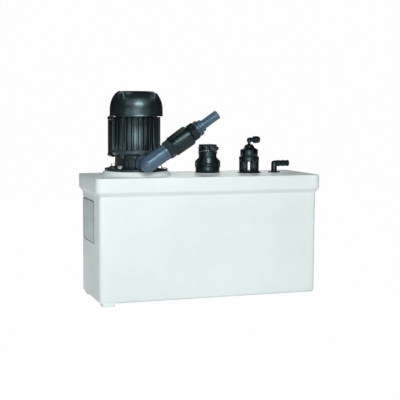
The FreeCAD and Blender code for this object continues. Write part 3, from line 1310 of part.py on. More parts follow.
def threaded_nipple():
    """Grey collar between the elbow's socket and the valve's thread."""
    plug_start = NIPPLE_START - SOCKET_DEPTH
    edge = 0.8
    profile = [
        (NIPPLE_BORE_R, plug_start),
        (SOCKET_R, plug_start),
        (SOCKET_R, NIPPLE_START),
        (NIPPLE_COLLAR_R - edge, NIPPLE_START),
        (NIPPLE_COLLAR_R, NIPPLE_START + edge),
        (NIPPLE_COLLAR_R, VALVE_START - edge),
        (NIPPLE_COLLAR_R - edge, VALVE_START),
        (NIPPLE_THREAD_R, VALVE_START),
        (NIPPLE_THREAD_R, VALVE_START + NIPPLE_THREAD_LENGTH),
        (NIPPLE_BORE_R, VALVE_START + NIPPLE_THREAD_LENGTH),
    ]
    return on_line(revolved(profile))


def chamfered_hexagon(across_flats, low, high, turn):
    """A hexagon bar with its corners turned off at both ends."""
    corner_r = across_flats / math.sqrt(3)
    cut = 1.2
    envelope = revolved([
        (0, low), (corner_r - cut, low), (corner_r, low + cut / 2),
        (corner_r, high - cut / 2), (corner_r - cut, high), (0, high)])
    return hexagon(across_flats, low, high, turn=turn).common(envelope)


def check_valve_body():
    """Valve barrel with a hexagon end, a seat web and the poppet's chamber."""
    flats = chamfered_hexagon(VALVE_HEX, VALVE_START, BARREL_START, 0)
    groove_1 = BARREL_START + 2 * VALVE_RING_WIDTH
    groove_2 = groove_1 + 2 * VALVE_RING_WIDTH
    smooth = groove_2 + VALVE_RING_WIDTH
    low_r = VALVE_BARREL_START_R
    dip_r = low_r - VALVE_RING_DEPTH
    profile = [
        (0, BARREL_START - VALVE_RING_WIDTH),
        (VALVE_SHOULDER_R, BARREL_START - VALVE_RING_WIDTH),
        (low_r, BARREL_START + VALVE_RING_WIDTH),
        (low_r, groove_1),
        (dip_r, groove_1),
        (dip_r, groove_1 + VALVE_RING_WIDTH),
        (low_r, groove_1 + VALVE_RING_WIDTH),
        (low_r, groove_2),
        (dip_r, groove_2),
        (dip_r, smooth),
        (low_r + 0.1, smooth),
        (VALVE_BARREL_R, BARREL_END),
        (VALVE_SHOULDER_R, VALVE_END),
        (0, VALVE_END),
    ]
    body = fused(flats, revolved(profile))
    bore = revolved([
        (0, VALVE_START - 1), (NIPPLE_THREAD_R, VALVE_START - 1),
        (NIPPLE_THREAD_R, VALVE_START + NIPPLE_THREAD_LENGTH), (SEAT_R, VALVE_START + NIPPLE_THREAD_LENGTH),
        (SEAT_R, SEAT_FACE), (CHAMBER_R, SEAT_FACE), (CHAMBER_R, VALVE_END + 1), (0, VALVE_END + 1)])
    return on_line(body.cut(bore))


def check_valve_cap():
    """Screwed end with its own hexagon and a three-webbed guide for the poppet's stem."""
    flats = chamfered_hexagon(VALVE_HEX, VALVE_END, CAP_END, CAP_TURN)
    spigot = cylinder(CHAMBER_R, GUIDE_START, VALVE_END)
    body = fused(flats, spigot)
    wide_end = CAP_END - ADAPTER_THREAD_LENGTH
    bore = revolved([
        (0, GUIDE_START - 1), (CAP_SPIGOT_BORE_R, GUIDE_START - 1), (CAP_SPIGOT_BORE_R, VALVE_END),
        (CAP_BORE_R, wide_end), (CAP_BORE_R, CAP_END + 1), (0, CAP_END + 1)])
    body = body.cut(bore)
    guide_end = GUIDE_START + GUIDE_LENGTH
    web = block(0, CAP_SPIGOT_BORE_R + 1, -GUIDE_WEB / 2, GUIDE_WEB / 2, GUIDE_START, guide_end)
    webs = [turned(web, 360.0 / GUIDE_WEBS * i) for i in range(GUIDE_WEBS)]
    guide = cylinder(GUIDE_R, GUIDE_START, guide_end).fuse(webs)
    guide = guide.cut(cylinder(POPPET_STEM_R + RUNNING_CLEARANCE, GUIDE_START - 1, guide_end + 1))
    return on_line(fused(body, guide))


def valve_poppet():
    """Poppet disc with its nose in the seat and its stem in the guide."""
    stem_end = GUIDE_START + GUIDE_LENGTH - 1
    profile = [
        (0, SEAT_FACE - 2),
        (POPPET_NOSE_R - 1, SEAT_FACE - 2),
        (POPPET_NOSE_R, POPPET_START),
        (POPPET_R, POPPET_START),
        (POPPET_R, POPPET_BACK),
        (POPPET_STEM_R, POPPET_BACK),
        (POPPET_STEM_R, stem_end),
        (0, stem_end),
    ]
    return on_line(revolved(profile))


def valve_spring():
    """Helical spring between the poppet's back and the guide."""
    margin = 0.3 + SPRING_WIRE_R
    low = POPPET_BACK + margin
    high = GUIDE_START - margin
    pitch = (high - low) / SPRING_TURNS
    path = Part.makeHelix(pitch, high - low, SPRING_MEAN_R)
    climb = Vector(0, 2 * math.pi * SPRING_MEAN_R, pitch)
    section = Part.Wire([Part.makeCircle(SPRING_WIRE_R, Vector(SPRING_MEAN_R, 0, 0), climb)])
    coil = Part.Wire(path).makePipeShell([section], True, True)
    coil = moved(coil, 0, 0, low)
    if coil.Volume < 0:
        coil.reverse()
    print("spring: least gap between turns %.2f" % (pitch - 2 * SPRING_WIRE_R))
    return on_line(coil)


def tail_adapter():
    """Grey threaded neck and disc at the valve's outlet."""
    profile = [
        (ADAPTER_BORE_R, CAP_END - ADAPTER_THREAD_LENGTH + 1),
        (CAP_BORE_R, CAP_END - ADAPTER_THREAD_LENGTH + 1),
        (CAP_BORE_R, CAP_END),
        (ADAPTER_NECK_R, CAP_END),
        (ADAPTER_NECK_R, ADAPTER_DISC_START),
        (ADAPTER_DISC_R, ADAPTER_DISC_START),
        (ADAPTER_DISC_R, O_RING_START),
        (ADAPTER_BORE_R, O_RING_START),
    ]
    return on_line(revolved(profile))


def tail_o_ring():
    """Squeezed rubber ring between the adapter and the hose tail."""
    bulge = O_RING_LENGTH / 4
    profile = [
        (TAIL_R, O_RING_START),
        (O_RING_R - bulge, O_RING_START),
        (O_RING_R, O_RING_START + bulge),
        (O_RING_R, TAIL_START - bulge),
        (O_RING_R - bulge, TAIL_START),
        (TAIL_R, TAIL_START),
    ]
    return on_line(revolved(profile))


def hose_tail():
    """Hose tail: flange, waist, step and a ringed pipe with an open, rounded tip."""
    profile = [
        (TAIL_BORE_R, TAIL_START),
        (TAIL_FLANGE_R, TAIL_START),
        (TAIL_FLANGE_R, TAIL_START + TAIL_FLANGE_LENGTH),
        (TAIL_WAIST_R, TAIL_START + TAIL_FLANGE_LENGTH + 1),
        (TAIL_WAIST_R, TAIL_STEP_START),
        (TAIL_STEP_R, TAIL_STEP_START + 0.5),
        (TAIL_STEP_R, TAIL_PIPE_START - 0.5),
        (TAIL_R, TAIL_PIPE_START),
    ]
    ring_start = TAIL_END - TAIL_TIP_R - TAIL_RINGS * TAIL_RING_PITCH
    for i in range(TAIL_RINGS):
        low = ring_start + i * TAIL_RING_PITCH
        profile.append((TAIL_R, low))
        profile.append((TAIL_R - TAIL_RING_DEPTH, low + 0.15))
        profile.append((TAIL_R, low + TAIL_RING_PITCH - 0.2))
    tip = math.radians(45)
    profile.append((TAIL_R, TAIL_END - TAIL_TIP_R))
    profile.append((TAIL_R - TAIL_TIP_R * (1 - math.cos(tip)), TAIL_END - TAIL_TIP_R * (1 - math.sin(tip))))
    profile.append((TAIL_R - TAIL_TIP_R, TAIL_END))
    profile.append((TAIL_BORE_R, TAIL_END))
    return on_line(revolved(profile))


# Inlet

def inlet_ear(side):
    """A wing at one side of the union, with a sloping top and a waist."""
    base = INLET_BASE_Z
    outline = [
        (UNION_BORE_R + 2, base),
        (UNION_R + 1, base),
        (UNION_R + 1, base + EAR_WAIST_HEIGHT - 5),
        (EAR_REACH, base + EAR_WAIST_HEIGHT),
        (EAR_REACH, base + EAR_SHOULDER_HEIGHT),
        (SLEEVE_R + 0.6, base + EAR_TOP_HEIGHT),
        (UNION_BORE_R + 2, base + EAR_TOP_HEIGHT),
    ]
    points = [Vector(INLET_X + side * r, FITTING_Y - EAR_THICKNESS / 2, z) for r, z in outline]
    return polygon_prism(points, Vector(0, EAR_THICKNESS, 0))


def sleeve_profile(gap):
    """Outline of the rubber sleeve, grown by a gap on the outside."""
    cuff_top = SLEEVE_LOW_Z + SLEEVE_CUFF_HEIGHT
    return [
        (SLEEVE_CUFF_R + gap, SLEEVE_LOW_Z),
        (SLEEVE_R + gap, cuff_top),
        (SLEEVE_R + gap, SLEEVE_TOP_Z),
    ]


def inlet_union():
    """Tank connector: skirt with two beads, spigot, threaded stem and two wings."""
    skirt_top = INLET_BASE_Z + UNION_SKIRT_HEIGHT
    bead = UNION_BEAD_HEIGHT / 2
    profile = [
        (UNION_BORE_R, INLET_BASE_Z - UNION_STEM_DEPTH),
        (UNION_STEM_R, INLET_BASE_Z - UNION_STEM_DEPTH),
        (UNION_STEM_R, INLET_BASE_Z),
        (UNION_R, INLET_BASE_Z),
        (UNION_R, skirt_top - 0.6),
        (UNION_R - 0.6, skirt_top),
        (UNION_R - 0.2, skirt_top + bead / 3),
        (UNION_R - 0.2, skirt_top + bead * 2 / 3),
        (UNION_R - 0.8, skirt_top + bead),
        (UNION_R - 0.5, skirt_top + bead * 4 / 3),
        (UNION_R - 0.8, skirt_top + bead * 5 / 3),
        (SLEEVE_CUFF_R, SLEEVE_LOW_Z),
        (SPIGOT_R, SLEEVE_LOW_Z),
        (SPIGOT_R, SLEEVE_LOW_Z + SPIGOT_HEIGHT),
        (UNION_BORE_R, SLEEVE_LOW_Z + SPIGOT_HEIGHT),
    ]
    body = revolved(profile, INLET_X, FITTING_Y)
    sleeve_space = revolved([(0, SLEEVE_LOW_Z)] + sleeve_profile(HOLE_CLEARANCE) + [(0, SLEEVE_TOP_Z)],
                            INLET_X, FITTING_Y)
    bore = cylinder(UNION_BORE_R, INLET_BASE_Z - UNION_STEM_DEPTH, SLEEVE_TOP_Z, INLET_X, FITTING_Y)
    ears = [inlet_ear(side).cut([sleeve_space, bore]) for side in (-1, 1)]
    return fused(body, *ears)


def inlet_sleeve():
    """Rubber sleeve over the spigot, open at the top for a waste pipe."""
    cuff_top = SLEEVE_LOW_Z + SLEEVE_CUFF_HEIGHT
    inner = [
        (SLEEVE_BORE_R, SLEEVE_TOP_Z),
        (SLEEVE_BORE_R, cuff_top),
        (SPIGOT_R, cuff_top),
        (SPIGOT_R, SLEEVE_LOW_Z),
    ]
    return revolved(sleeve_profile(0) + inner, INLET_X, FITTING_Y)


def worm_place(shape):
    """Lay a shape built on +Z so that it runs round the clamp at the worm's angle."""
    radius = SLEEVE_R + BAND_THICKNESS + WORM_R + WORM_WALL
    middle_z = (BAND_LOW_Z + BAND_TOP_Z) / 2
    laid_flat = laid(shape, Vector(radius, 0, 0), -90, Vector(1, 0, 0))
    return moved(turned(laid_flat, CLAMP_ANGLE), INLET_X, FITTING_Y, middle_z)


def inlet_clamp_band():
    """Hose clamp band with the worm's housing on it."""
    band = ring(SLEEVE_R + BAND_THICKNESS, SLEEVE_R, BAND_LOW_Z, BAND_TOP_Z, INLET_X, FITTING_Y)
    half = WORM_HOUSING_LENGTH / 2
    outer_r = WORM_R + WORM_WALL
    tunnel = cylinder(outer_r, -half, half)
    sole = block(-outer_r - BAND_THICKNESS, 0, -WORM_HOUSING_WIDTH / 2, WORM_HOUSING_WIDTH / 2, -half, half)
    keep_out = cylinder(SLEEVE_R, BAND_LOW_Z - 1, BAND_TOP_Z + 1, INLET_X, FITTING_Y)
    housing = worm_place(tunnel.fuse(sole)).cut(keep_out)
    worm_hole = worm_place(cylinder(WORM_R, -half - 1, half + 1))
    return fused(band, housing).cut(worm_hole)


def inlet_clamp_screw():
    """Worm screw with a slotted hexagon head."""
    half = WORM_HOUSING_LENGTH / 2
    worm = cylinder(WORM_R, -half - 1, half)
    head_end = half + WORM_HEAD_LENGTH
    head = chamfered_hexagon(WORM_HEAD_HEX, half, head_end, 0)
    slot = block(-WORM_HEAD_HEX, WORM_HEAD_HEX, -0.5, 0.5, head_end - 1.4, head_end + 1)
    return worm_place(fused(worm, head.cut(slot)))


def back_nut(across_flats, bore_r, x, y):
    """Hexagon nut up against the inside of the tank top."""
    nut = hexagon(across_flats, CEILING_Z - NUT_THICKNESS, CEILING_Z, x, y)
    return nut.cut(cylinder(bore_r, CEILING_Z - NUT_THICKNESS - 1, CEILING_Z + 1, x, y))


# Air gap fitting

def air_gap_cage():
    """Flanged cage with four windows, and a threaded spigot into the tank."""
    flange_top = RIM_TOP_Z + CAGE_FLANGE_THICKNESS
    profile = [
        (CAGE_OUTLET_R, RIM_TOP_Z - CAGE_SPIGOT_DEPTH),
        (CAGE_SPIGOT_R, RIM_TOP_Z - CAGE_SPIGOT_DEPTH),
        (CAGE_SPIGOT_R, RIM_TOP_Z),
        (CAGE_FLANGE_R - 0.5, RIM_TOP_Z),
        (CAGE_FLANGE_R, RIM_TOP_Z + CAGE_FLANGE_THICKNESS / 3),
        (CAGE_FLANGE_R - 1.0, RIM_TOP_Z + CAGE_FLANGE_THICKNESS * 2 / 3),
        (CAGE_R, flange_top),
        (CAGE_R, CAGE_TOP_Z),
        (CAGE_BORE_R, CAGE_TOP_Z),
        (CAGE_BORE_R, flange_top + 1),
        (CAGE_OUTLET_R, flange_top),
    ]
    body = revolved(profile, AIR_GAP_X, FITTING_Y)
    sill = RIM_TOP_Z + WINDOW_SILL
    side_window = sideways(
        rounded_block(WINDOW_HEIGHT, WINDOW_WIDTH, WINDOW_WIDTH / 8, 0, CAGE_R + 5), 0, 0, 0)
    window = moved(side_window, AIR_GAP_X, FITTING_Y, sill + WINDOW_HEIGHT / 2)
    step = 360.0 / WINDOW_COUNT
    windows = [turned(window, AIR_GAP_TURN + step * i, AIR_GAP_X, FITTING_Y) for i in range(WINDOW_COUNT)]
    return body.cut(windows)


def air_gap_cap():
    """Stepped cap that closes the cage and holds the swivel elbow's stem."""
    plug_r = CAGE_BORE_R
    swivel_r = SWIVEL_R + RUNNING_CLEARANCE
    ceiling = CAP_BODY_TOP_Z - CAP_WALL
    profile = [
        (plug_r - CAP_WALL, CAGE_TOP_Z - CAP_PLUG_DEPTH),
        (plug_r, CAGE_TOP_Z - CAP_PLUG_DEPTH),
        (plug_r, CAGE_TOP_Z),
        (CAP_BODY_R, CAGE_TOP_Z),
        (CAP_BODY_R, CAP_BODY_TOP_Z - 0.8),
        (CAP_BODY_R - 0.8, CAP_BODY_TOP_Z),
        (CAP_CONE_R, CAP_CONE_TOP_Z - 1.6),
        (CAP_CONE_R, CAP_CONE_TOP_Z),
        (CAP_CONE_R - 1.8, CAP_CONE_TOP_Z + 0.4),
        (CAP_TOP_R, CAP_TOP_Z - 1.0),
        (CAP_TOP_R, CAP_TOP_Z),
        (swivel_r, CAP_TOP_Z),
        (swivel_r, CAP_TOP_Z - SWIVEL_DEPTH - HOLE_CLEARANCE),
        (PUSH_BORE_R, CAP_TOP_Z - SWIVEL_DEPTH - HOLE_CLEARANCE),
        (PUSH_BORE_R, ceiling),
        (plug_r - CAP_WALL, ceiling),
    ]
    return revolved(profile, AIR_GAP_X, FITTING_Y)


def push_in_elbow():
    """Swivel elbow: stem, round body and the nut that holds the release collet."""
    stem = cylinder(SWIVEL_R, CAP_TOP_Z - SWIVEL_DEPTH, PUSH_AXIS_Z)
    body_low = PUSH_AXIS_Z - PUSH_BODY_R
    body_high = PUSH_AXIS_Z + PUSH_BODY_R
    chamfer = 1.4
    body = revolved([
        (0, body_low), (PUSH_BODY_R, body_low), (PUSH_BODY_R, body_high - chamfer),
        (PUSH_BODY_R - chamfer, body_high), (0, body_high)])
    arm = sideways(cylinder(PUSH_ARM_R, 0, PUSH_NUT_START + 1), 0, 0, PUSH_AXIS_Z)
    nut_end = PUSH_NUT_START + PUSH_NUT_LENGTH
    nut = revolved([
        (0, PUSH_NUT_START), (PUSH_NUT_R - chamfer / 2, PUSH_NUT_START),
        (PUSH_NUT_R, PUSH_NUT_START + chamfer / 2), (PUSH_NUT_R, nut_end - chamfer),
        (PUSH_NUT_R - chamfer, nut_end), (0, nut_end)])
    whole = fused(stem, body, arm, sideways(nut, 0, 0, PUSH_AXIS_Z))
    collet_hole = cylinder(COLLET_R + COLLET_CLEARANCE, nut_end - COLLET_DEPTH - COLLET_TRAVEL - 0.3, nut_end + 1)
    cuts = [
        cylinder(PUSH_BORE_R, CAP_TOP_Z - SWIVEL_DEPTH - 1, PUSH_AXIS_Z),
        sideways(cylinder(PUSH_BORE_R, 0, nut_end), 0, 0, PUSH_AXIS_Z),
        sideways(collet_hole, 0, 0, PUSH_AXIS_Z),
    ]
    return moved(whole.cut(cuts).removeSplitter(), AIR_GAP_X, FITTING_Y)


def release_collet():
    """Release ring that is pressed in to free the hose."""
    nut_end = PUSH_NUT_START + PUSH_NUT_LENGTH
    flange = nut_end + COLLET_GAP
    profile = [
        (COLLET_BORE_R, nut_end - COLLET_DEPTH),
        (COLLET_R, nut_end - COLLET_DEPTH),
        (COLLET_R, flange),
        (COLLET_FLANGE_R, flange),
        (COLLET_FLANGE_R, flange + COLLET_FLANGE_THICKNESS),
        (COLLET_BORE_R, flange + COLLET_FLANGE_THICKNESS),
    ]
    return moved(sideways(revolved(profile), 0, 0, PUSH_AXIS_Z), AIR_GAP_X, FITTING_Y)


# Vent elbow

def vent_elbow():
    """Barbed elbow with a round flange, pushed into its grommet."""
    flange_top = RIM_TOP_Z + VENT_FLANGE_THICKNESS
    upright = revolved([
        (0, RIM_TOP_Z - VENT_STEM_DEPTH), (VENT_R, RIM_TOP_Z - VENT_STEM_DEPTH), (VENT_R, RIM_TOP_Z),
        (VENT_FLANGE_R, RIM_TOP_Z), (VENT_FLANGE_R, flange_top - 0.8), (VENT_FLANGE_R - 0.8, flange_top),
        (VENT_R + 1.5, flange_top), (VENT_R, flange_top + 1.5), (VENT_R, VENT_AXIS_Z), (0, VENT_AXIS_Z)])
    knee = Part.makeSphere(VENT_R, Vector(0, 0, VENT_AXIS_Z))
    outline = [(0, 0), (VENT_PIPE_R, 0)]
    for reach in VENT_BARB_REACH:
        outline.append((VENT_PIPE_R, reach - VENT_BARB_LAND))
        outline.append((VENT_BARB_R, reach - VENT_BARB_LAND))
        outline.append((VENT_BARB_R, reach))
        outline.append((VENT_PIPE_R, min(reach + VENT_BARB_LENGTH, VENT_REACH)))
    outline.append((0, VENT_REACH))
    pipe = sideways(revolved(outline), 0, 0, VENT_AXIS_Z)
    whole = fused(upright, knee, pipe)
    cuts = [
        cylinder(VENT_BORE_R, RIM_TOP_Z - VENT_STEM_DEPTH - 1, VENT_AXIS_Z),
        sideways(cylinder(VENT_BORE_R, 0, VENT_REACH + 1), 0, 0, VENT_AXIS_Z),
        Part.makeSphere(VENT_BORE_R, Vector(0, 0, VENT_AXIS_Z)),
    ]
    return moved(whole.cut(cuts).removeSplitter(), VENT_X, FITTING_Y)


def vent_grommet():
    """Rubber grommet in the tank top, with a lip below."""
    lip_low = CEILING_Z - GROMMET_LIP_THICKNESS
    profile = [
        (VENT_R, lip_low),
        (GROMMET_LIP_R, lip_low),
        (GROMMET_LIP_R, CEILING_Z),
        (GROMMET_R, CEILING_Z),
        (GROMMET_R, RIM_TOP_Z),
        (VENT_R, RIM_TOP_Z),
    ]
    return revolved(profile, VENT_X, FITTING_Y)


# Level control

def level_rod():
    """Guide rod of the level control, hung from the head's flange."""
    x = PUMP_X + LEVEL_OFFSET
    gland_low = FLANGE_LOW_Z - LEVEL_GLAND_HEIGHT
    rod = cylinder(LEVEL_ROD_R, LEVEL_LOW_Z, gland_low, x)
    return fused(hexagon(LEVEL_GLAND_HEX, gland_low, FLANGE_LOW_Z, x), rod)


def level_float():
    """Round float on the rod, resting on its lower clip."""
    high = FLOAT_LOW_Z + FLOAT_HEIGHT
    body = ring(FLOAT_R, LEVEL_ROD_R + FLOAT_CLEARANCE, FLOAT_LOW_Z, high, PUMP_X + LEVEL_OFFSET)
    rim = [e for e in level_edges(body, FLOAT_LOW_Z) + level_edges(body, high)
           if e.BoundBox.XLength > 2 * FLOAT_R - 1]
    return body.makeFillet(FLOAT_EDGE_R, rim)


def level_stop_clips():
    """The two clips that stop the float."""
    x = PUMP_X + LEVEL_OFFSET
    low = FLOAT_LOW_Z - FLOAT_REST_GAP - CLIP_THICKNESS
    high = FLOAT_LOW_Z + FLOAT_HEIGHT + FLOAT_TRAVEL + FLOAT_REST_GAP
    clips = [ring(CLIP_R, LEVEL_ROD_R, z, z + CLIP_THICKNESS, x) for z in (low, high)]
    return Part.makeCompound(clips)


PARTS = {
    "tank": tank,
    "rating_plate": rating_plate,
    "threaded_inserts": threaded_inserts,
    "head_gasket": head_gasket,
    "pump_head": pump_head,
    "head_bolts": head_bolts,
    "column_tube": column_tube,
    "riser_pipe": riser_pipe,
    "volute_casing": volute_casing,
    "suction_cover": suction_cover,
    "casing_screws": casing_screws,
    "lower_bush": lower_bush,
    "shaft_seal": shaft_seal,
    "pump_shaft": pump_shaft,
    "impeller": impeller,
    "impeller_nut": impeller_nut,
    "shaft_coupling": shaft_coupling,
    "lower_end_shield": lower_end_shield,
    "stator_housing": stator_housing,
    "tie_bolts": tie_bolts,
    "stator_core": stator_core,
    "stator_windings": stator_windings,
    "lower_bearing": lambda: bearing(LOWER_BEARING_Z),
    "upper_bearing": lambda: bearing(UPPER_BEARING_Z),
    "upper_end_shield": upper_end_shield,
    "motor_shaft": motor_shaft,
    "rotor_core": rotor_core,
    "cooling_fan": cooling_fan,
    "fan_cowl": fan_cowl,
    "cowl_screws": cowl_screws,
    "terminal_box": terminal_box,
    "terminal_lid": terminal_lid,
    "lid_screws": lid_screws,
    "terminal_block": terminal_block,
    "cable_gland": cable_gland,
    "delivery_elbow": delivery_elbow,
    "threaded_nipple": threaded_nipple,
    "check_valve_body": check_valve_body,
    "check_valve_cap": check_valve_cap,
    "valve_poppet": valve_poppet,
    "valve_spring": valve_spring,
    "tail_adapter": tail_adapter,
    "tail_o_ring": tail_o_ring,
    "hose_tail": hose_tail,
    "inlet_union": inlet_union,
    "inlet_sleeve": inlet_sleeve,
    "inlet_clamp_band": inlet_clamp_band,
    "inlet_clamp_screw": inlet_clamp_screw,
    "inlet_back_nut": lambda: back_nut(INLET_NUT_HEX, UNION_STEM_R, INLET_X, FITTING_Y),
    "air_gap_cage": air_gap_cage,
    "air_gap_cap": air_gap_cap,
    "air_gap_nut": lambda: back_nut(AIR_GAP_NUT_HEX, CAGE_SPIGOT_R, AIR_GAP_X, FITTING_Y),
    "push_in_elbow": push_in_elbow,
    "release_collet": release_collet,
    "vent_elbow": vent_elbow,
    "vent_grommet": vent_grommet,
    "level_rod": level_rod,
    "level_float": level_float,
    "level_stop_clips": level_stop_clips,
}


def main():
    """Build each piece, shift it into the common frame and write its file."""
    os.makedirs("parts", exist_ok=True)
    for name, make in PARTS.items():
        shape = make()
        shape.translate(Vector(0, FRAME_SHIFT_Y, 0))
        if not shape.isValid() or shape.Volume <= 0:
            raise RuntimeError(name + " is not a sound solid")
        shape.exportStep("parts/" + name + ".step")
        print("%-20s solids %d volume %.0f" % (name, len(shape.Solids), shape.Volume))


main()
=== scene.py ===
import json
import math

import bmesh
import bpy
import numpy as np
from bpy.props import FloatProperty, FloatVectorProperty, PointerProperty
from bpy.types import Operator, Panel, PropertyGroup
from mathutils import Matrix


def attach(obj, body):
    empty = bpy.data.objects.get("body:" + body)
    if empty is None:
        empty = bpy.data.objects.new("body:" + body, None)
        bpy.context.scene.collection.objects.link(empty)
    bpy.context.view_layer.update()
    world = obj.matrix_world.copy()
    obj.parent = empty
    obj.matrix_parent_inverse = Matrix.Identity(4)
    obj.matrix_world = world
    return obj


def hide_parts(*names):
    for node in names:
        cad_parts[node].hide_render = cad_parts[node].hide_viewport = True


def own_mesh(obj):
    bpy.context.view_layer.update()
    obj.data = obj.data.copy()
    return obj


bl_info = {"name": "Brine lifting pump", "version": (1, 0, 0), "blender": (4, 5, 0),
    "location": "View3D > Sidebar > Pump",
    "description": "Dresses the packed brine lifting pump and its stage", "category": "Object"}

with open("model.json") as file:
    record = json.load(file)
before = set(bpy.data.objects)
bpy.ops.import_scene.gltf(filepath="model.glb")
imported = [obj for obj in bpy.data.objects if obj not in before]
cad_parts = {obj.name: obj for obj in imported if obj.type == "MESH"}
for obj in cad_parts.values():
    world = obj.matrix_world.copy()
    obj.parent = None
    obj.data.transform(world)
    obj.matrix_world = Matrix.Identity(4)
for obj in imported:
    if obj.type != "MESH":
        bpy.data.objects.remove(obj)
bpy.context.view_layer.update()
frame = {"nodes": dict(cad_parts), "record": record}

UNIT = "unit"
PUMP = np.array([-0.142, 0.007925])
FITTINGS_Y = 0.025925
INLET = np.array([0.0257, FITTINGS_Y])
GAP = np.array([0.1241, FITTINGS_Y])
VENT = np.array([0.1853, FITTINGS_Y])
KNEE = np.array([-0.1395, -0.079075, 0.2927])
SLOPE = math.radians(34.5)
PATTERN = math.radians(40.2)
YAW = math.radians(18.82)
VIEW = (math.sin(YAW), math.cos(YAW))


def colour_setting(name, text, value):
    """A colour that the panel shows."""
    return FloatVectorProperty(name=name, description=text, subtype="COLOR", default=value, min=0, max=1)


def power_setting(name, text, value):
    """The power of a lamp, in watts."""
    return FloatProperty(name=name, description=text, default=value, min=0, unit="POWER")


class TankSettings(PropertyGroup):
    """Colours of the tank and its plate."""

    shell: colour_setting("Shell", "Colour of the moulded tank", (0.80, 0.875, 0.87))
    plate: colour_setting("Plate", "Colour of the bare rating plate", (0.40, 0.49, 0.48))


class BlackSettings(PropertyGroup):
    """Colours of the dark pieces."""

    cowl: colour_setting("Cowl", "Colour of the fan cover", (0.008, 0.012, 0.014))
    motor: colour_setting("Motor", "Colour of the finned barrel", (0.010, 0.014, 0.017))
    head: colour_setting("Head", "Colour of the pump head", (0.008, 0.011, 0.014))
    fitting: colour_setting("Fittings", "Colour of the small black fittings", (0.005, 0.008, 0.010))


class GreySettings(PropertyGroup):
    """Colour of the grey pipe pieces."""

    pipe: colour_setting("Pipe", "Colour of the grey elbow and hose tail", (0.052, 0.092, 0.140))


class StageSettings(PropertyGroup):
    """Light and camera."""

    lens: FloatProperty(name="Lens", description="Focal length on a 36 mm sensor, in millimetres",
        default=84.51, min=20, max=200)
    key: power_setting("Key light", "Power of the front softbox", 16.0)
    fill: power_setting("Fill light", "Power of the left softbox", 6.6)
    low: power_setting("Low light", "Power of the low front softbox", 10.0)
    back: power_setting("Back light", "Power of the softbox behind", 11.0)
    top: power_setting("Top light", "Power of the overhead softbox", 3.5)


# Node groups

SOCKETS = {1: "NodeSocketFloat", 3: "NodeSocketVector", 4: "NodeSocketColor"}


def start_group(name, inputs, outputs):
    """An empty shader node group, and the sockets at its two ends. Each input is given by its first value,
    None for a vector without one, and each output by its count of numbers."""
    group = bpy.data.node_groups.new(name, "ShaderNodeTree")
    for label, value in inputs.items():
        count = 3 if value is None else len(value) if isinstance(value, tuple) else 1
        socket = group.interface.new_socket(label, in_out="INPUT", socket_type=SOCKETS[count])
        if value is not None:
            socket.default_value = value
    for label, count in outputs.items():
        group.interface.new_socket(label, in_out="OUTPUT", socket_type=SOCKETS[count])
    return group, group.nodes.new("NodeGroupInput").outputs, group.nodes.new("NodeGroupOutput").inputs


def fill(tree, sockets, inputs):
    """Join each named socket to the socket given for it, or give it the value."""
    for key, value in inputs.items():
        if isinstance(value, bpy.types.NodeSocket):
            tree.links.new(value, sockets[key])
        else:
            sockets[key].default_value = value


def node(tree, kind, inputs, **settings):
    """A node with its settings and its inputs."""
    made = tree.nodes.new(kind)
    for key, value in settings.items():
        setattr(made, key, value)
    fill(tree, made.inputs, inputs)
    return made


def maths(tree, operation, first, second):
    """The result of one sum on two numbers."""
    return node(tree, "ShaderNodeMath", {0: first, 1: second}, operation=operation).outputs[0]


def noise(tree, place, scale, detail, **more):
    """Noise at a place, about 0.5."""
    return node(tree, "ShaderNodeTexNoise", {"Vector": place, "Scale": scale, "Detail": detail,
        **more}).outputs["Fac"]


def ranged(tree, value, span=(0.0, 1.0), low=0.0, high=1.0):
    """A span of a value carried onto the range from low to high, and held inside it."""
    return node(tree, "ShaderNodeMapRange", {"Value": value, "From Min": span[0], "From Max": span[1],
        "To Min": low, "To Max": high}, clamp=True).outputs["Result"]


def bumped(tree, height, strength, distance, **more):
    """The normal of a surface bumped by a height."""
    return node(tree, "ShaderNodeBump", {"Height": height, "Strength": strength, "Distance": distance,
        **more}).outputs["Normal"]


def mixed(tree, share, first, second):
    """A colour between two."""
    return node(tree, "ShaderNodeMix", {"Factor": share, 6: first, 7: second}, data_type="RGBA").outputs[2]


def mottle_group():
    """Slow cloudy change between two colours."""
    group, given, out = start_group("Cloudy tone", {"Place": None, "Scale": 8.0, "Pale": (1, 1, 1, 1),
        "Deep": (0.8, 0.8, 0.8, 1)}, {"Colour": 4})
    cloud = noise(group, given["Place"], given["Scale"], 3.0, Roughness=0.55)
    fill(group, out, {"Colour": mixed(group, ranged(group, cloud, (0.35, 0.65)), given["Deep"],
        given["Pale"])})
    return group


def grain_group():
    """Fine moulded or cast skin: a bumped normal, and a roughness that changes a little, more slowly."""
    group, given, out = start_group("Moulded grain", {"Place": None, "Scale": 900.0, "Depth": 0.15,
        "Distance": 0.0002, "Rough low": 0.35, "Rough high": 0.5}, {"Normal": 3, "Roughness": 1})
    fine = noise(group, given["Place"], given["Scale"], 2.0)
    broad = noise(group, given["Place"], maths(group, "MULTIPLY", given["Scale"], 0.06), 2.0)
    fill(group, out, {"Normal": bumped(group, fine, given["Depth"], given["Distance"]),
        "Roughness": ranged(group, broad, (0.35, 0.65), given["Rough low"], given["Rough high"])})
    return group


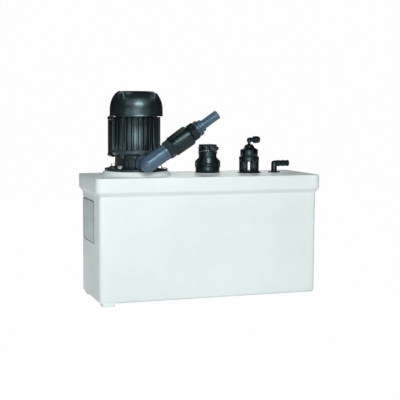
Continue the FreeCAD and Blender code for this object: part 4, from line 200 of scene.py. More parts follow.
def dust_group():
    """A mask of thin dust that lies where a surface faces up, broken by noise."""
    group, given, out = start_group("Settled dust", {"Place": None, "Amount": 0.3}, {"Mask": 1})
    facing = node(group, "ShaderNodeNewGeometry", {})
    split = node(group, "ShaderNodeSeparateXYZ", {"Vector": facing.outputs["Normal"]})
    thin = maths(group, "MULTIPLY", ranged(group, split.outputs["Z"], (0.3, 1.0)),
        noise(group, given["Place"], 60.0, 4.0))
    fill(group, out, {"Mask": maths(group, "MULTIPLY", thin, given["Amount"])})
    return group


def brush_group():
    """Fine lines drawn out along one axis, as a brushed or turned metal has."""
    group, given, out = start_group("Brushed lines", {"Place": None, "Stretch": (40, 40, 1200),
        "Depth": 0.1, "Rough low": 0.2, "Rough high": 0.4}, {"Normal": 3, "Roughness": 1})
    drawn = node(group, "ShaderNodeVectorMath", {0: given["Place"], 1: given["Stretch"]},
        operation="MULTIPLY")
    lines = noise(group, drawn.outputs["Vector"], 1.0, 3.0)
    fill(group, out, {"Normal": bumped(group, lines, given["Depth"], 0.0001),
        "Roughness": ranged(group, lines, low=given["Rough low"], high=given["Rough high"])})
    return group


GROUPS = {}


def group_in(tree, name, inputs):
    """The outputs of one of the shared groups, placed in a material with its values."""
    return node(tree, "ShaderNodeGroup", inputs, node_tree=GROUPS[name]).outputs


def new_material(name, **constants):
    """A material with a Principled shader, its constants on its own sockets, and Object coordinates."""
    material = bpy.data.materials.new(name)
    material.use_nodes = True
    tree = material.node_tree
    shader = next(n for n in tree.nodes if n.type == "BSDF_PRINCIPLED")
    for key, value in constants.items():
        shader.inputs[key.replace("_", " ")].default_value = value
    place = tree.nodes.new("ShaderNodeTexCoord").outputs["Object"]
    return material, tree, shader, place


def shaded(colour, share):
    """A colour made lighter or darker, as four numbers."""
    return tuple(min(1.0, c * share) for c in colour[:3]) + (1.0,)


COOL_SHEEN = (0.62, 0.94, 1.0, 1.0)
DUST = (0.30, 0.32, 0.32, 1)


def cloudy(tree, place, scale, colour, pale, deep):
    """A colour that drifts between a paler and a deeper share of itself."""
    return group_in(tree, "cloud", {"Place": place, "Scale": scale, "Pale": shaded(colour, pale),
        "Deep": shaded(colour, deep)})["Colour"]


def moulded(name, colour, rough=(0.32, 0.45), depth=0.12, scale=900.0, cloud=0.12, dust=0.0, specular=0.46):
    """Painted or moulded finish: cloudy tone, fine grain and a little dust on what faces up."""
    material, tree, shader, place = new_material(name, Specular_IOR_Level=specular,
        Specular_Tint=COOL_SHEEN)
    tone = cloudy(tree, place, 14.0, colour, 1 + cloud, 1 - cloud)
    skin = group_in(tree, "grain", {"Place": place, "Scale": scale, "Depth": depth, "Rough low": rough[0],
        "Rough high": rough[1]})
    if dust:
        lying = group_in(tree, "dust", {"Place": place, "Amount": dust})["Mask"]
        tone = mixed(tree, lying, tone, DUST)
    fill(tree, shader.inputs, {"Base Color": tone, "Roughness": skin["Roughness"],
        "Normal": skin["Normal"]})
    return material


def metal(name, colour, rough=(0.22, 0.38), stretch=(40, 40, 1200), depth=0.1):
    """Bare metal with drawn lines."""
    material, tree, shader, place = new_material(name, Metallic=1.0)
    lines = group_in(tree, "brush", {"Place": place, "Stretch": stretch, "Depth": depth,
        "Rough low": rough[0], "Rough high": rough[1]})
    fill(tree, shader.inputs, {"Base Color": cloudy(tree, place, 40.0, colour, 1.06, 0.9),
        "Roughness": lines["Roughness"], "Normal": lines["Normal"]})
    return material


def tank_material(settings):
    """Rotomoulded shell: pale, faintly green, slightly wavy, with a soft gloss."""
    material, tree, shader, place = new_material("Moulded tank", Specular_IOR_Level=0.3)
    skin = group_in(tree, "grain", {"Place": place, "Scale": 420.0, "Depth": 0.22, "Distance": 0.0003,
        "Rough low": 0.30, "Rough high": 0.42})
    wave = bumped(tree, noise(tree, place, 5.5, 1.0), 0.35, 0.004, Normal=skin["Normal"])
    fill(tree, shader.inputs, {"Base Color": cloudy(tree, place, 7.0, settings.shell, 1.03, 0.965),
        "Roughness": skin["Roughness"], "Normal": wave})
    return material


def make_materials(settings):
    """Every finish, by the record's slot name."""
    GROUPS.update(cloud=mottle_group(), grain=grain_group(), dust=dust_group(), brush=brush_group())
    black = settings.pump_black
    grey = settings.pump_grey.pipe
    tank = settings.pump_tank
    return {
        "tank": tank_material(tank),
        "plate_metal": metal("Plate metal", tank.plate, (0.35, 0.5), (1200, 1200, 30)),
        "insert_metal": metal("Insert brass", (0.60, 0.42, 0.18)),
        "rubber": moulded("Soft rubber", (0.008, 0.011, 0.013), (0.24, 0.30), 0.05, 700, 0.08, 0.0, 0.6),
        "head_paint": moulded("Head paint", black.head, (0.26, 0.36), 0.3, 420, 0.2, 0.08, 0.4),
        # The shield paint is paler than the motor's black: painted light, standing in for the light on the
        # flange's face.
        "shield_paint": moulded("Shield paint paled for painted light", (0.034, 0.050, 0.060), (0.24, 0.34), 0.25, 420, 0.15, 0.12),
        "motor_paint": moulded("Motor paint", black.motor, (0.18, 0.26), 0.2, 420, 0.15, 0.05, 0.8),
        "cowl_plastic": moulded("Cowl plastic", black.cowl, (0.28, 0.31), 0.02, 900, 0.05, 0.02, 0.95),
        "box_plastic": moulded("Box plastic", black.cowl, (0.34, 0.45), 0.15, 800, 0.1, 0.04, 0.3),
        "steel": metal("Plain steel", (0.62, 0.64, 0.66)),
        "dark_steel": metal("Blackened steel", (0.07, 0.092, 0.102), (0.26, 0.38)),
        "laminated_steel": metal("Stacked sheets", (0.30, 0.31, 0.33), (0.4, 0.55), (4, 4, 2500), 0.5),
        "winding": metal("Winding wire", (0.50, 0.22, 0.10), (0.3, 0.45), (900, 900, 900), 0.5),
        "block_plastic": moulded("Block plastic", (0.50, 0.47, 0.38), (0.4, 0.5)),
        "wet_plastic": moulded("Wet end plastic", (0.022, 0.024, 0.027), (0.38, 0.5), 0.2, 600),
        "fan_plastic": moulded("Fan plastic", (0.013, 0.013, 0.015), (0.35, 0.45)),
        "grey_plastic": moulded("Grey pipe plastic", grey, (0.30, 0.36), 0.03, 900, 0.06, 0.0, 0.75),
        "valve_plastic": moulded("Valve plastic", black.fitting, (0.28, 0.36), 0.1, 700, 0.12, 0.0, 0.45),
        "poppet_plastic": moulded("Poppet plastic", (0.6, 0.6, 0.58), (0.35, 0.45)),
        "fitting_plastic": moulded("Fitting plastic", black.fitting, (0.17, 0.24), 0.08, 700, 0.12, 0.0, 0.4),
        "float_plastic": moulded("Float foam", (0.66, 0.64, 0.56), (0.55, 0.7), 0.6, 500)}


MATERIALS = {}


def wear(obj, slot):
    """Give an object the finish of one of the record's slots."""
    obj.data.materials.clear()
    obj.data.materials.append(MATERIALS[slot])


def dress_all():
    """Make the finishes, and give each CAD piece its own."""
    MATERIALS.update(make_materials(bpy.context.scene))
    for row in frame["record"]["subparts"]:
        wear(frame["nodes"][row["node"]], row["material_slot"])


# Stage

def add(name, data):
    """A new object in the scene."""
    obj = bpy.data.objects.new(name, data)
    bpy.context.scene.collection.objects.link(obj)
    return obj


def face(obj, place, right, up, gaze):
    """Put a lamp or camera at a place, looking along its gaze."""
    turn = np.eye(4)
    turn[:3] = np.stack([right, up, -gaze, place], axis=1)
    obj.matrix_world = Matrix(turn.tolist())


PALE_GREEN = (0.86, 1.0, 0.95)
WHITE = (1, 1, 1)
LAMP_TARGET = np.array([-0.02, 0.0, 0.22])


def softbox(name, azimuth, height, distance, width, tall, power, colour=PALE_GREEN):
    """An area lamp at an azimuth round the pump, looking at its middle."""
    lamp = bpy.data.lights.new(name, "AREA")
    lamp.shape = "RECTANGLE"
    lamp.size, lamp.size_y, lamp.energy, lamp.color = width, tall, power, colour
    obj = add(name, lamp)
    obj.visible_camera = False
    angle = math.radians(azimuth)
    place = np.array([distance * math.cos(angle), distance * math.sin(angle), height])
    gaze = (LAMP_TARGET - place) / np.linalg.norm(LAMP_TARGET - place)
    side = np.cross(gaze, (0, 0, 1))
    side = side / np.linalg.norm(side)
    face(obj, place, side, np.cross(side, gaze), gaze)


def stage_sheet(name, points):
    """An open grid that belongs to the stage."""
    mesh = bpy.data.meshes.new(name)
    mesh.from_pydata(points.reshape(-1, 3).tolist(), [], grid_faces(*points.shape[:2]).tolist())
    obj = add(name, mesh)
    return obj


def felt_sheet(name, points):
    """A grid of dark felt that only mirrored light meets."""
    obj = stage_sheet(name, points)
    obj.visible_camera = obj.visible_diffuse = obj.visible_shadow = False
    felt = new_material(name + " felt", Roughness=1.0, Specular_IOR_Level=0.0,
        Base_Color=(0.02, 0.02, 0.02, 1))[0]
    obj.data.materials.append(felt)


def card(name, start, end, low=0.19, tall=1.25, distance=1.25):
    """A dark curved card beside the pump, which gives the black pieces their dark flanks. It is part of an
    upright cylinder round the pump."""
    angle, rise = np.meshgrid(np.radians(np.linspace(start, end, 13)), np.linspace(low, tall, 3))
    felt_sheet(name, raised(polar(distance, angle), rise))


def ceiling(name, height=2.75, half=2.4):
    """A dark flat card overhead, which keeps the tops of the black pieces dark."""
    across, along = np.meshgrid(*2 * [np.linspace(-half, half, 3)])
    felt_sheet(name, np.stack([across, along, np.full_like(across, height)], axis=-1))


def camera(settings):
    """The photograph's view: yaw and pitch fitted to the tank's corners, with a slight roll."""
    pitch, roll = math.radians(5.52), math.radians(0.33)
    gaze = np.array([math.sin(YAW) * math.cos(pitch), math.cos(YAW) * math.cos(pitch), -math.sin(pitch)])
    side = np.array([math.cos(YAW), -math.sin(YAW), 0.0])
    right = side * math.cos(roll) + np.cross(side, gaze) * math.sin(roll)
    lens = bpy.data.cameras.new("Photo camera")
    lens.lens = settings.lens
    lens.clip_start, lens.clip_end = 0.05, 60
    obj = add("Photo camera", lens)
    face(obj, (-0.6596, -1.9342, 0.4059), right, np.cross(right, gaze), gaze)
    bpy.context.scene.camera = obj


def background_rays(tree):
    """1 for the rays that show a background: straight, mirrored or through glass."""
    path = node(tree, "ShaderNodeLightPath", {}).outputs
    straight = maths(tree, "MAXIMUM", path["Is Camera Ray"], path["Is Transmission Ray"])
    return maths(tree, "MAXIMUM", straight, path["Is Glossy Ray"])


def seen_white(tree, dull, share):
    """Mix a shader towards plain white for the rays that show a background."""
    white = node(tree, "ShaderNodeEmission", {"Color": (1, 1, 1, 1), "Strength": 1.0})
    amount = maths(tree, "MULTIPLY", background_rays(tree), share)
    return node(tree, "ShaderNodeMixShader", {0: amount, 1: dull, 2: white.outputs[0]}).outputs[0]


def floor_sheet():
    """A floor that rises behind into a backdrop: height is zero, then a quarter round, then upright."""
    bend = np.linspace(0.1, math.pi / 2, 12)
    run = np.concatenate([np.linspace(-4, 3, 15), 3 + 1.5 * np.sin(bend), np.full(6, 4.5)])
    rise = np.concatenate([np.zeros(15), 1.5 * (1 - np.cos(bend)), np.linspace(1.8, 6, 6)])
    across, along = np.meshgrid(np.linspace(-6, 6, 9), run)
    return np.stack([across, along, np.tile(rise[:, None], (1, 9))], axis=-1)


def make_stage():
    """Studio light, the paper floor, the lamps and their cards, and the camera."""
    scene = bpy.context.scene
    settings = scene.pump_stage
    scene.view_settings.view_transform = "Standard"
    world = scene.world = bpy.data.worlds.new("Studio")
    world.use_nodes = True
    tree = world.node_tree
    back = next(n for n in tree.nodes if n.type == "BACKGROUND")
    fill(tree, back.inputs, {"Color": (1, 1, 1, 1), "Strength": ranged(tree, background_rays(tree),
        low=0.17)})
    floor = stage_sheet("Floor", floor_sheet())
    floor.data.shade_smooth()
    paper, tree, shader, _ = new_material("Floor paper", Base_Color=(0.86, 0.87, 0.87, 1), Roughness=0.9,
        Specular_IOR_Level=0.1)
    out = next(n for n in tree.nodes if n.type == "OUTPUT_MATERIAL")
    tree.links.new(seen_white(tree, shader.outputs[0], 0.98), out.inputs["Surface"])
    floor.data.materials.append(paper)
    softbox("Key softbox", 262, 1.12, 1.6, 0.95, 0.32, settings.key, WHITE)
    softbox("Low softbox", 254, 0.17, 2.4, 1.3, 0.34, settings.low, WHITE)
    softbox("Fill softbox", 214, 0.7, 2.3, 1.9, 1.3, settings.fill)
    softbox("Top softbox", 150, 2.6, 1.1, 0.9, 0.7, settings.top)
    softbox("Back softbox", 86, 1.3, 1.9, 1.6, 0.9, settings.back)
    card("Left card", 84, 206)
    card("Front card", 206, 306, 0.44, 0.78)
    card("Right card", 306, 418)
    ceiling("Ceiling card")
    camera(settings)


# Grid surfaces

def grid_faces(rows, cols, loop=False):
    """Quads between the corners of a grid, row after row, closed across when loop is set."""
    row, col = np.meshgrid(np.arange(rows - 1), np.arange(cols if loop else cols - 1), indexing="ij")
    after = (col + 1) % cols
    return np.stack([row * cols + col, row * cols + after, (row + 1) * cols + after,
        (row + 1) * cols + col], axis=-1).reshape(-1, 4)


def closed(points):
    """A grid closed across, as a part: its points and its quads."""
    return points, grid_faces(*points.shape[:2], loop=True)


def polar(radius, angle):
    """Flat points at a radius and an angle."""
    return np.stack(np.broadcast_arrays(radius * np.cos(angle), radius * np.sin(angle)), axis=-1)


def raised(flat, height):
    """Rows of flat points, each row at its height."""
    return np.concatenate([flat, np.broadcast_to(height, flat.shape[:2])[..., None]], axis=-1)


def modify(obj, name, kind, **settings):
    """Give an object a modifier with its settings."""
    made = obj.modifiers.new(name, kind)
    for key, value in settings.items():
        setattr(made, key, value)


def enter(name, mesh, slot, replaced, body=UNIT):
    """A mesh as a piece of the pump: smooth between its sharp edges, in its finish, on its body, and in
    the place of a CAD piece."""
    mesh.shade_smooth()
    mesh.set_sharp_from_angle(angle=math.radians(32))
    obj = add(name, mesh)
    wear(obj, slot)
    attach(obj, body)
    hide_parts(replaced)
    return obj


def build(name, parts, slot, replaced, body=UNIT, up=False):
    """One piece out of several grids, its doubles merged and its faces turned outwards, or up."""
    corners, faces, start = [], [], 0
    for points, quads in parts:
        corners.append(points.reshape(-1, 3))
        faces.append(quads + start)
        start += len(corners[-1])
    mesh = bpy.data.meshes.new(name)
    mesh.from_pydata(np.concatenate(corners).tolist(), [], np.concatenate(faces).tolist())
    work = bmesh.new()
    work.from_mesh(mesh)
    bmesh.ops.remove_doubles(work, verts=work.verts, dist=2e-6)
    bmesh.ops.dissolve_degenerate(work, dist=1e-7, edges=work.edges)
    bmesh.ops.recalc_face_normals(work, faces=work.faces)
    if up and sum(face.normal.z for face in work.faces) < 0:
        bmesh.ops.reverse_faces(work, faces=work.faces)
    work.to_mesh(mesh)
    work.free()
    return enter(name, mesh, slot, replaced, body)


# Surfaces. Sizes here are in millimetres, and `placed` carries them into the frame's metres.

MM = 0.001
UPRIGHT = ((1, 0, 0), (0, 1, 0), (0, 0, 1))
SIDEWAYS = ((0, 1, 0), (0, 0, 1), (1, 0, 0))
LINE = ((math.sin(SLOPE), 0, -math.cos(SLOPE)), (0, 1, 0), (math.cos(SLOPE), 0, math.sin(SLOPE)))


def placed(points, origin, axes=UPRIGHT):
    """Local millimetres carried into the frame: origin + x, y and z along the three axes."""
    return np.asarray(origin) + (points * MM) @ np.array(axes, float)


def soft(corners, radius=0.0, steps=4, ring=False):
    """A path with rounded corners. Each corner C is cut back to A and B along its two sides, and between
    them the point at t is (1 - t)^2 A + 2 t (1 - t) C + t^2 B."""
    corners = np.asarray(corners, float)
    back = np.roll(corners, 1, axis=0) - corners
    onward = np.roll(corners, -1, axis=0) - corners
    far_back = np.maximum(np.linalg.norm(back, axis=1), 1e-9)
    far_on = np.maximum(np.linalg.norm(onward, axis=1), 1e-9)
    cut = np.minimum(np.broadcast_to(radius, far_back.shape), 0.49 * np.minimum(far_back, far_on))
    if not ring:
        cut[[0, -1]] = 0
    start = (corners + back * (cut / far_back)[:, None])[:, None]
    end = (corners + onward * (cut / far_on)[:, None])[:, None]
    t = np.linspace(0, 1, steps)[None, :, None]
    path = ((1 - t) ** 2 * start + 2 * t * (1 - t) * corners[:, None] + t ** 2 * end).reshape(-1, 2)
    keep = np.linalg.norm(path - np.roll(path, 1, axis=0), axis=1) > 1e-6
    keep[0] = True
    return path[keep]


def even(path, count):
    """The same path with its points spread evenly along its length."""
    run = np.concatenate([[0], np.cumsum(np.linalg.norm(np.diff(path, axis=0), axis=1))])
    at = np.linspace(0, run[-1], count)
    return np.stack([np.interp(at, run, path[:, 0]), np.interp(at, run, path[:, 1])], axis=-1)


def turned(profile, steps=64, start=0.0, limit=None):
    """Revolve of (radius, height) rows about Z. A limit of (width, sides) holds the radius inside a
    regular polygon: at the angle a from its nearest flat, width / 2 / cos a. start is a corner. A limit
    that is a function gives the most radius at each angle."""
    angles = start + np.arange(steps) * (2 * math.pi / steps)
    radius = np.repeat(profile[:, :1], steps, axis=1)
    if callable(limit):
        radius = np.minimum(radius, limit(angles))
    elif limit:
        width, sides = limit
        pitch = 2 * math.pi / sides
        off = (angles - start + 1e-9) % pitch - pitch / 2
        radius = np.minimum(radius, width / 2 / np.cos(off))
    return raised(polar(radius, angles), profile[:, 1:])


def lathe(corners, origin, axes=UPRIGHT, soften=0.4, steps=64, start=0.0, limit=None, ring=True):
    """A turned form: a closed outline with a bore, or an open one that begins and ends on the axis."""
    profile = soft(corners, soften, ring=ring)
    if ring:
        profile = np.concatenate([profile, profile[:1]])
    points = turned(profile, steps, start, limit)
    return closed(placed(points, origin, axes))


def slab(outline, low, high, origin, axes=UPRIGHT, edge=0.5):
    """A flat outline carried from low to high. Near its ends each point is drawn in towards the middle
    along a rounded corner, and the ends are closed at the middle."""
    middle = outline.mean(axis=0)
    size = np.linalg.norm(outline - middle, axis=1).mean()
    rows = soft([(size, low), (0, low), (0, high), (size, high)], edge)
    share = 1 - rows[:, 0] / size
    flat = middle + (outline - middle)[None] * share[:, None, None]
    return closed(placed(raised(flat, rows[:, 1:]), origin, axes))


def eased(name, width, slot):
    """A copy of a CAD piece with its doubled vertices merged, its flat faces joined and its edges rounded."""
    mesh = bpy.data.objects[name].data.copy()
    work = bmesh.new()
    work.from_mesh(mesh)
    bmesh.ops.remove_doubles(work, verts=work.verts, dist=1e-6)
    bmesh.ops.dissolve_limit(work, angle_limit=math.radians(1), verts=work.verts, edges=work.edges)
    work.to_mesh(mesh)
    work.free()
    modify(enter(name + "_form", mesh, slot, name), "Edge", "BEVEL", width=width * MM, segments=2,
        limit_method="ANGLE", angle_limit=math.radians(40))


def ease_cad_pieces():
    """The terminal box with what is screwed to it, and the upper shield."""
    for name in ("terminal_box", "terminal_lid", "cable_gland", "lid_screws"):
        eased(name, 0.5, "box_plastic")
    eased("upper_end_shield", 0.5, "shield_paint")


def leaning(parts, centre):
    """Parts sheared upright: a point rises by the clamp's lean times its distance before the centre,
    counted along the photograph's view."""
    return [(points + ((np.asarray(centre[:2]) - points[..., :2]) @ np.array(VIEW))[..., None]
        * np.array([0, 0, CLAMP_LEAN]), faces) for points, faces in parts]


def four(part):
    """A part turned about the pump's axis to the four places of its pattern."""
    points, faces = part
    middle = np.array([*PUMP, 0])
    turned_parts = []
    for angle in PATTERN + np.arange(4) * (math.pi / 2):
        c, s = math.cos(angle), math.sin(angle)
        turn = np.array([[c, s, 0], [-s, c, 0], [0, 0, 1]])
        turned_parts.append(((points - middle) @ turn + middle, faces))
    return turned_parts


def kneed(come_rows, go_rows, radius, knee, come, go, cols=72, arc=9):
    """Pipe skin round a right-angled knee. At the section angle p a point lies r (cos p n + sin p u) from
    the middle line, where n is square to both legs and u turns from the way out to back along the way in.
    On the inner side each leg stops r sin p before the knee, where the two meet."""
    come, go = np.array(come, float), np.array(go, float)
    normal = np.cross(come, go)
    p = np.arange(cols) * (2 * math.pi / cols)
    c, s = np.cos(p)[None, :, None], np.sin(p)[None, :, None]
    inner = np.maximum(s, 0)

    def leg(rows, way, side):
        far, r = rows[:, 0][:, None, None], rows[:, 1][:, None, None]
        return np.maximum(far, r * inner) * way + r * (c * normal + s * side)

    turn = np.linspace(0, math.pi / 2, arc)[1:-1, None, None]
    outer_side = np.cos(turn) * go - np.sin(turn) * come
    bend = radius * (c * normal + s * np.where(s > 0, go - come, outer_side))
    rows = np.concatenate([leg(come_rows, -come, go), bend, leg(go_rows, go, -come)])
    return np.asarray(knee) + rows * MM


# Tank

TANK_PLACE = np.array([0.0, 7.925 * MM, 0.0])
TANK_HALF = (242.3, 85.8)
TANK_CUTS = (-35.0, 76.0, 156.0)
TOP_OUTSET = 3.7
TOP_Z = 265.0
FRONT, SHORT, CORNER = 40, 18, 8


def tank_rounding(outset):
    """Corner radius at an outset: 9 + outset * 6 / 7.7 outside the wall's plane, 9 + outset inside it."""
    return np.maximum(np.where(outset > 0, 9 + outset * 6 / 7.7, 9 + outset), 0)


def tank_ring(outset):
    """The outline at each outset, walked from the front left corner round to it again: straight runs with
    a column at each cut of the top, and quarter rounds between them."""
    half = TANK_HALF[0] + TOP_OUTSET - float(tank_rounding(TOP_OUTSET))
    stops = [-half, *TANK_CUTS, half]
    run = np.concatenate([np.linspace(a, b, 11)[:10] for a, b in zip(stops[:-1], stops[1:])] + [[half]])
    share = run[None] / half
    outset = np.atleast_1d(outset)[:, None]
    x, y = TANK_HALF[0] + outset, TANK_HALF[1] + outset
    r = np.minimum(tank_rounding(outset), y)
    a, b = x - r, y - r
    side = np.linspace(-1, 1, SHORT + 1)[None, :-1]
    q = (np.arange(CORNER) * (math.pi / 2 / CORNER))[None]
    front, back = share[:, :-1], share[:, :0:-1]
    walk = [(front * a, 0 * front - y), (a + r * np.sin(q), -b - r * np.cos(q)), (0 * side + x, side * b),
        (a + r * np.cos(q), b + r * np.sin(q)), (back * a, 0 * back + y), (-a - r * np.sin(q),
        b + r * np.cos(q)), (0 * side - x, -side * b), (-a - r * np.cos(q), -b - r * np.sin(q))]
    return np.stack([np.concatenate([leg[axis] for leg in walk], axis=1) for axis in (0, 1)], axis=-1)


def tank_skin():
    """The side and floor: the outline's outset follows a softened profile from the floor's middle up."""
    rows = soft([(-TANK_HALF[1], 6), (-40, 6), (0, 6), (0, 226.8), (7.7, 235.4), (7.7, TOP_Z),
        (TOP_OUTSET, TOP_Z)], [0, 0, 6.5, 2.0, 1.8, 3.9, 0], 6)
    return closed(placed(raised(tank_ring(rows[:, 0]), rows[:, 1:]), TANK_PLACE))


def top_cell(border, centre, profile):
    """One quarter of the top with its hole. A column runs at the angle of each border point: along the
    hole's profile from the inside out, then straight to the border point."""
    away = border - centre
    angle = np.arctan2(away[:, 1], away[:, 0])[None]
    form = raised(centre + polar(profile[:, :1], angle), profile[:, 1:])
    edge = raised(border[None], TOP_Z)[0]
    share = np.linspace(0, 1, 7)[1:, None, None]
    points = np.concatenate([form, form[-1:] * (1 - share) + edge[None] * share])
    return closed(placed(points, TANK_PLACE))


def tank_top():
    """The top in four cells, each from its hole to its stretch of the border and the cuts beside it."""
    ring = tank_ring(TOP_OUTSET)[0]
    y = np.linspace(-1, 1, 15)[1:-1] * (TANK_HALF[1] + TOP_OUTSET)
    lines = [np.stack([np.full_like(y, x), y], axis=-1) for x in TANK_CUTS]
    back = FRONT + CORNER + SHORT + CORNER
    last = len(ring)
    step = FRONT // 4
    borders = [np.concatenate([ring[:step + 1], lines[0], ring[back + FRONT - step:last]]),
        np.concatenate([ring[step:2 * step + 1], lines[1],
        ring[back + FRONT - 2 * step:back + FRONT - step + 1], lines[0][::-1]]),
        np.concatenate([ring[2 * step:3 * step + 1], lines[2],
        ring[back + FRONT - 3 * step:back + FRONT - 2 * step + 1], lines[1][::-1]]),
        np.concatenate([ring[3 * step:back + FRONT - 3 * step + 1], lines[2][::-1]])]
    pad = soft([(49, 275.3), (69.5, 275.3), (74.5, 265), (79, 265)], [0, 3.6, 3.0, 0], 6)
    boss = soft([(18, 266.6), (28.9, 266.6), (29.6, 265), (34, 265)], [0, 0.8, 0.8, 0], 5)
    plain = np.array([(18.0, 265.0), (24.0, 265.0)])
    small = np.array([(9.0, 265.0), (16.0, 265.0)])
    centres = [(place - TANK_PLACE[:2]) / MM for place in (PUMP, INLET, GAP, VENT)]
    return [top_cell(*cell) for cell in zip(borders, centres, [pad, boss, plain, small])]


def rounded(length, width, radius, steps=6):
    """Outline of a rectangle with rounded corners about its middle."""
    x, y = length / 2, width / 2
    return soft([(-x, -y), (x, -y), (x, y), (-x, y)], radius, steps, ring=True)


def make_tank():
    """Moulded shell with its feet."""
    shell = build("tank_shell", [tank_skin(), *tank_top()], "tank", "tank")
    modify(shell, "Wall", "SOLIDIFY", thickness=4.0 * MM, offset=-1)
    places = ((-222.8, 73.6), (-222.8, -73.6), (188.3, 40.8), (188.3, -40.8))
    feet = [slab(rounded(28, 22, 6), 0, 9, TANK_PLACE + (x * MM, y * MM, 0), edge=1.6) for x, y in places]
    build("tank_feet", feet, "tank", "tank")


# Rating plate

def make_plate():
    """Bare plate and its dark raised border on the tank's left end: nested rounded outlines with heights."""
    outline = rounded(103, 91, 4)
    place, axes = (-242.3 * MM, 21.425 * MM, 169.5 * MM), ((0, 1, 0), (0, 0, 1), (-1, 0, 0))
    sheet = soft([(51, 0.9), (5.6, 0.9), (0.5, 0.9), (0, 0.6), (0, 0)], [0, 0, 0.2, 0.2, 0])
    border = soft([(0.8, 0), (0.8, 1.3), (3.0, 1.3), (3.0, 0), (0.8, 0)], [0, 0.35, 0.35, 0, 0])
    for name, rows, slot in (("rating_plate_sheet", sheet, "plate_metal"),
            ("plate_border", border, "rubber")):
        shares = np.maximum(1 - rows[:, :1] * np.array([[2 / 103, 2 / 91]]), 0)
        flat = outline[None] * shares[:, None, :] * (-1, 1)
        build(name, [closed(placed(raised(flat, rows[:, 1:]), place, axes))], slot, "rating_plate")


# Motor

FINS, ROOT_R, TIP_R, CUT_R, FIN_HALF = 28, 44.5, 51.5, 44.7, 3.4


def make_barrel():
    """Finned barrel. Its outline is 28 straight-sided fins with rounded tips and roots, carried from the
    lower shield to the upper one; the fins behind the terminal box are cut down to its saddle."""
    turn = PATTERN + math.radians(6.4286) + np.arange(FINS) * (2 * math.pi / FINS)
    c, s = np.cos(turn)[:, None], np.sin(turn)[:, None]
    tip = np.where((s > 0) & (np.abs(ROOT_R * c) < 27.5), CUT_R, TIP_R)
    u = np.sqrt(np.hstack([0 * tip + ROOT_R, tip, tip, 0 * tip + ROOT_R]) ** 2 - FIN_HALF ** 2)
    v = FIN_HALF * np.array([[-1, -1, 1, 1]])
    corners = np.stack([u * c - v * s, u * s + v * c], axis=-1).reshape(-1, 2)
    outline = soft(corners, np.tile([0.8, 0.9, 0.9, 0.8], FINS), 4, ring=True)
    size = np.linalg.norm(outline, axis=1)[None]
    rows = soft([(40, 319.8), (52, 319.8), (52, 389), (40, 389)], [0, 0.5, 0.5, 0])
    drawn = np.where(rows[:, :1] < 45, 40, size - (52 - rows[:, :1]))
    points = raised(outline[None] * (drawn / size)[..., None], rows[:, 1:])
    points = np.concatenate([points, points[:1]])
    saddle = slab(rounded(54, 56, 3), 0, 11.5, (PUMP[0], PUMP[1] + 41 * MM, 354.4 * MM),
        ((-1, 0, 0), (0, 0, 1), (0, 1, 0)), 0.4)
    build("finned_barrel", [closed(placed(points, (*PUMP, 0))), saddle], "motor_paint", "stator_housing")


def make_lower_shield():
    """Motor flange, round with faint flats, with a foot chamfer and four tabs that hang below it."""
    ring = lathe([(16.4, 308.6), (47.7, 308.6), (51.3, 312.2), (51.3, 319.8), (16.4, 319.8)], (*PUMP, 0),
        soften=0.7, steps=128, start=PATTERN + math.radians(22.5), limit=(101.4, 8))
    tab = slab(rounded(7.4, 9, 1.2) + np.array([48.8, 0]), 304.9, 319.8, (*PUMP, 0), edge=0.7)
    build("motor_foot_flange", [ring, *four(tab)], "shield_paint", "lower_end_shield")


# Fan cover

COWL_BASE = 390.5
GRILLE_TOP = 443.3
BOSS_CIRCLE, BOSS_R, BOSS_TOP = 47.0, 6.2, 438.0
DOME_ROWS = 56


def dome_rows():
    """Outside of the fan cover from the edge of its grille down to its lip, as radius and height."""
    dome = soft([(34, GRILLE_TOP), (38.2, GRILLE_TOP), (44.8, 438.4), (51.2, 429.0), (55.2, 417.0),
        (56.3, 407.5), (56.4, 393.6)], [0, 0.8, 4, 8, 6, 3, 0], 8)
    lip = soft([(56.4, 393.6), (57.2, 391.4), (57.2, COWL_BASE)], [0, 0.3, 0], 3)
    return np.concatenate([even(dome, DOME_ROWS), lip[1:]])


def boss_patch(rows, low, high, reach):
    """The piece of the dome round one screw boss, with the boss and its pocket. From the patch's border B
    a column runs straight to the boss's circle about C, at the dome's height for its radius, then up the
    boss's wall, over its top and down its screw hole to the middle."""
    radii = rows[low:high + 1, 0]
    angles = np.radians(np.arange(-reach, reach + 1) * 3.0)
    walk_r = np.concatenate([np.full(2 * reach, radii[0]), radii[:-1], np.full(2 * reach, radii[-1]),
        radii[:0:-1]])
    walk_a = np.concatenate([angles[:-1], np.full(len(radii) - 1, angles[-1]), angles[:0:-1],
        np.full(len(radii) - 1, angles[0])])
    border = polar(walk_r, walk_a)
    centre = np.array([BOSS_CIRCLE, 0])
    away = border - centre
    unit = away / np.linalg.norm(away, axis=1)[:, None]
    across, height = rows[:DOME_ROWS][np.argsort(rows[:DOME_ROWS, 0])].T

    def dome(flat):
        return np.interp(np.linalg.norm(flat, axis=-1), across, height)

    share = np.linspace(0, 1, 6)[:, None, None]
    sheet = border[None] * (1 - share) + (centre + unit * BOSS_R)[None] * share
    sheet_z = dome(sheet)
    sheet_z[0] = np.interp(walk_r, across, height)
    radius = np.array([6.2, 6.2, 6.0, 5.6, 4.3, 3.95, 3.9, 3.9, 0.0])[:, None, None]
    drop = np.array([1.2, 0.4, 0.1, 0.0, 0.0, 0.1, 0.4, 4.0, 4.0])[:, None]
    form = centre + unit[None] * radius
    form_z = np.maximum(dome(form), BOSS_TOP) - drop
    form_z[0] = np.maximum(form_z[0], dome(form[0]))
    form_z[-2:] = BOSS_TOP - 4.0
    flat = np.concatenate([sheet, form])
    return np.concatenate([flat, np.concatenate([sheet_z, form_z])[..., None]], axis=-1)


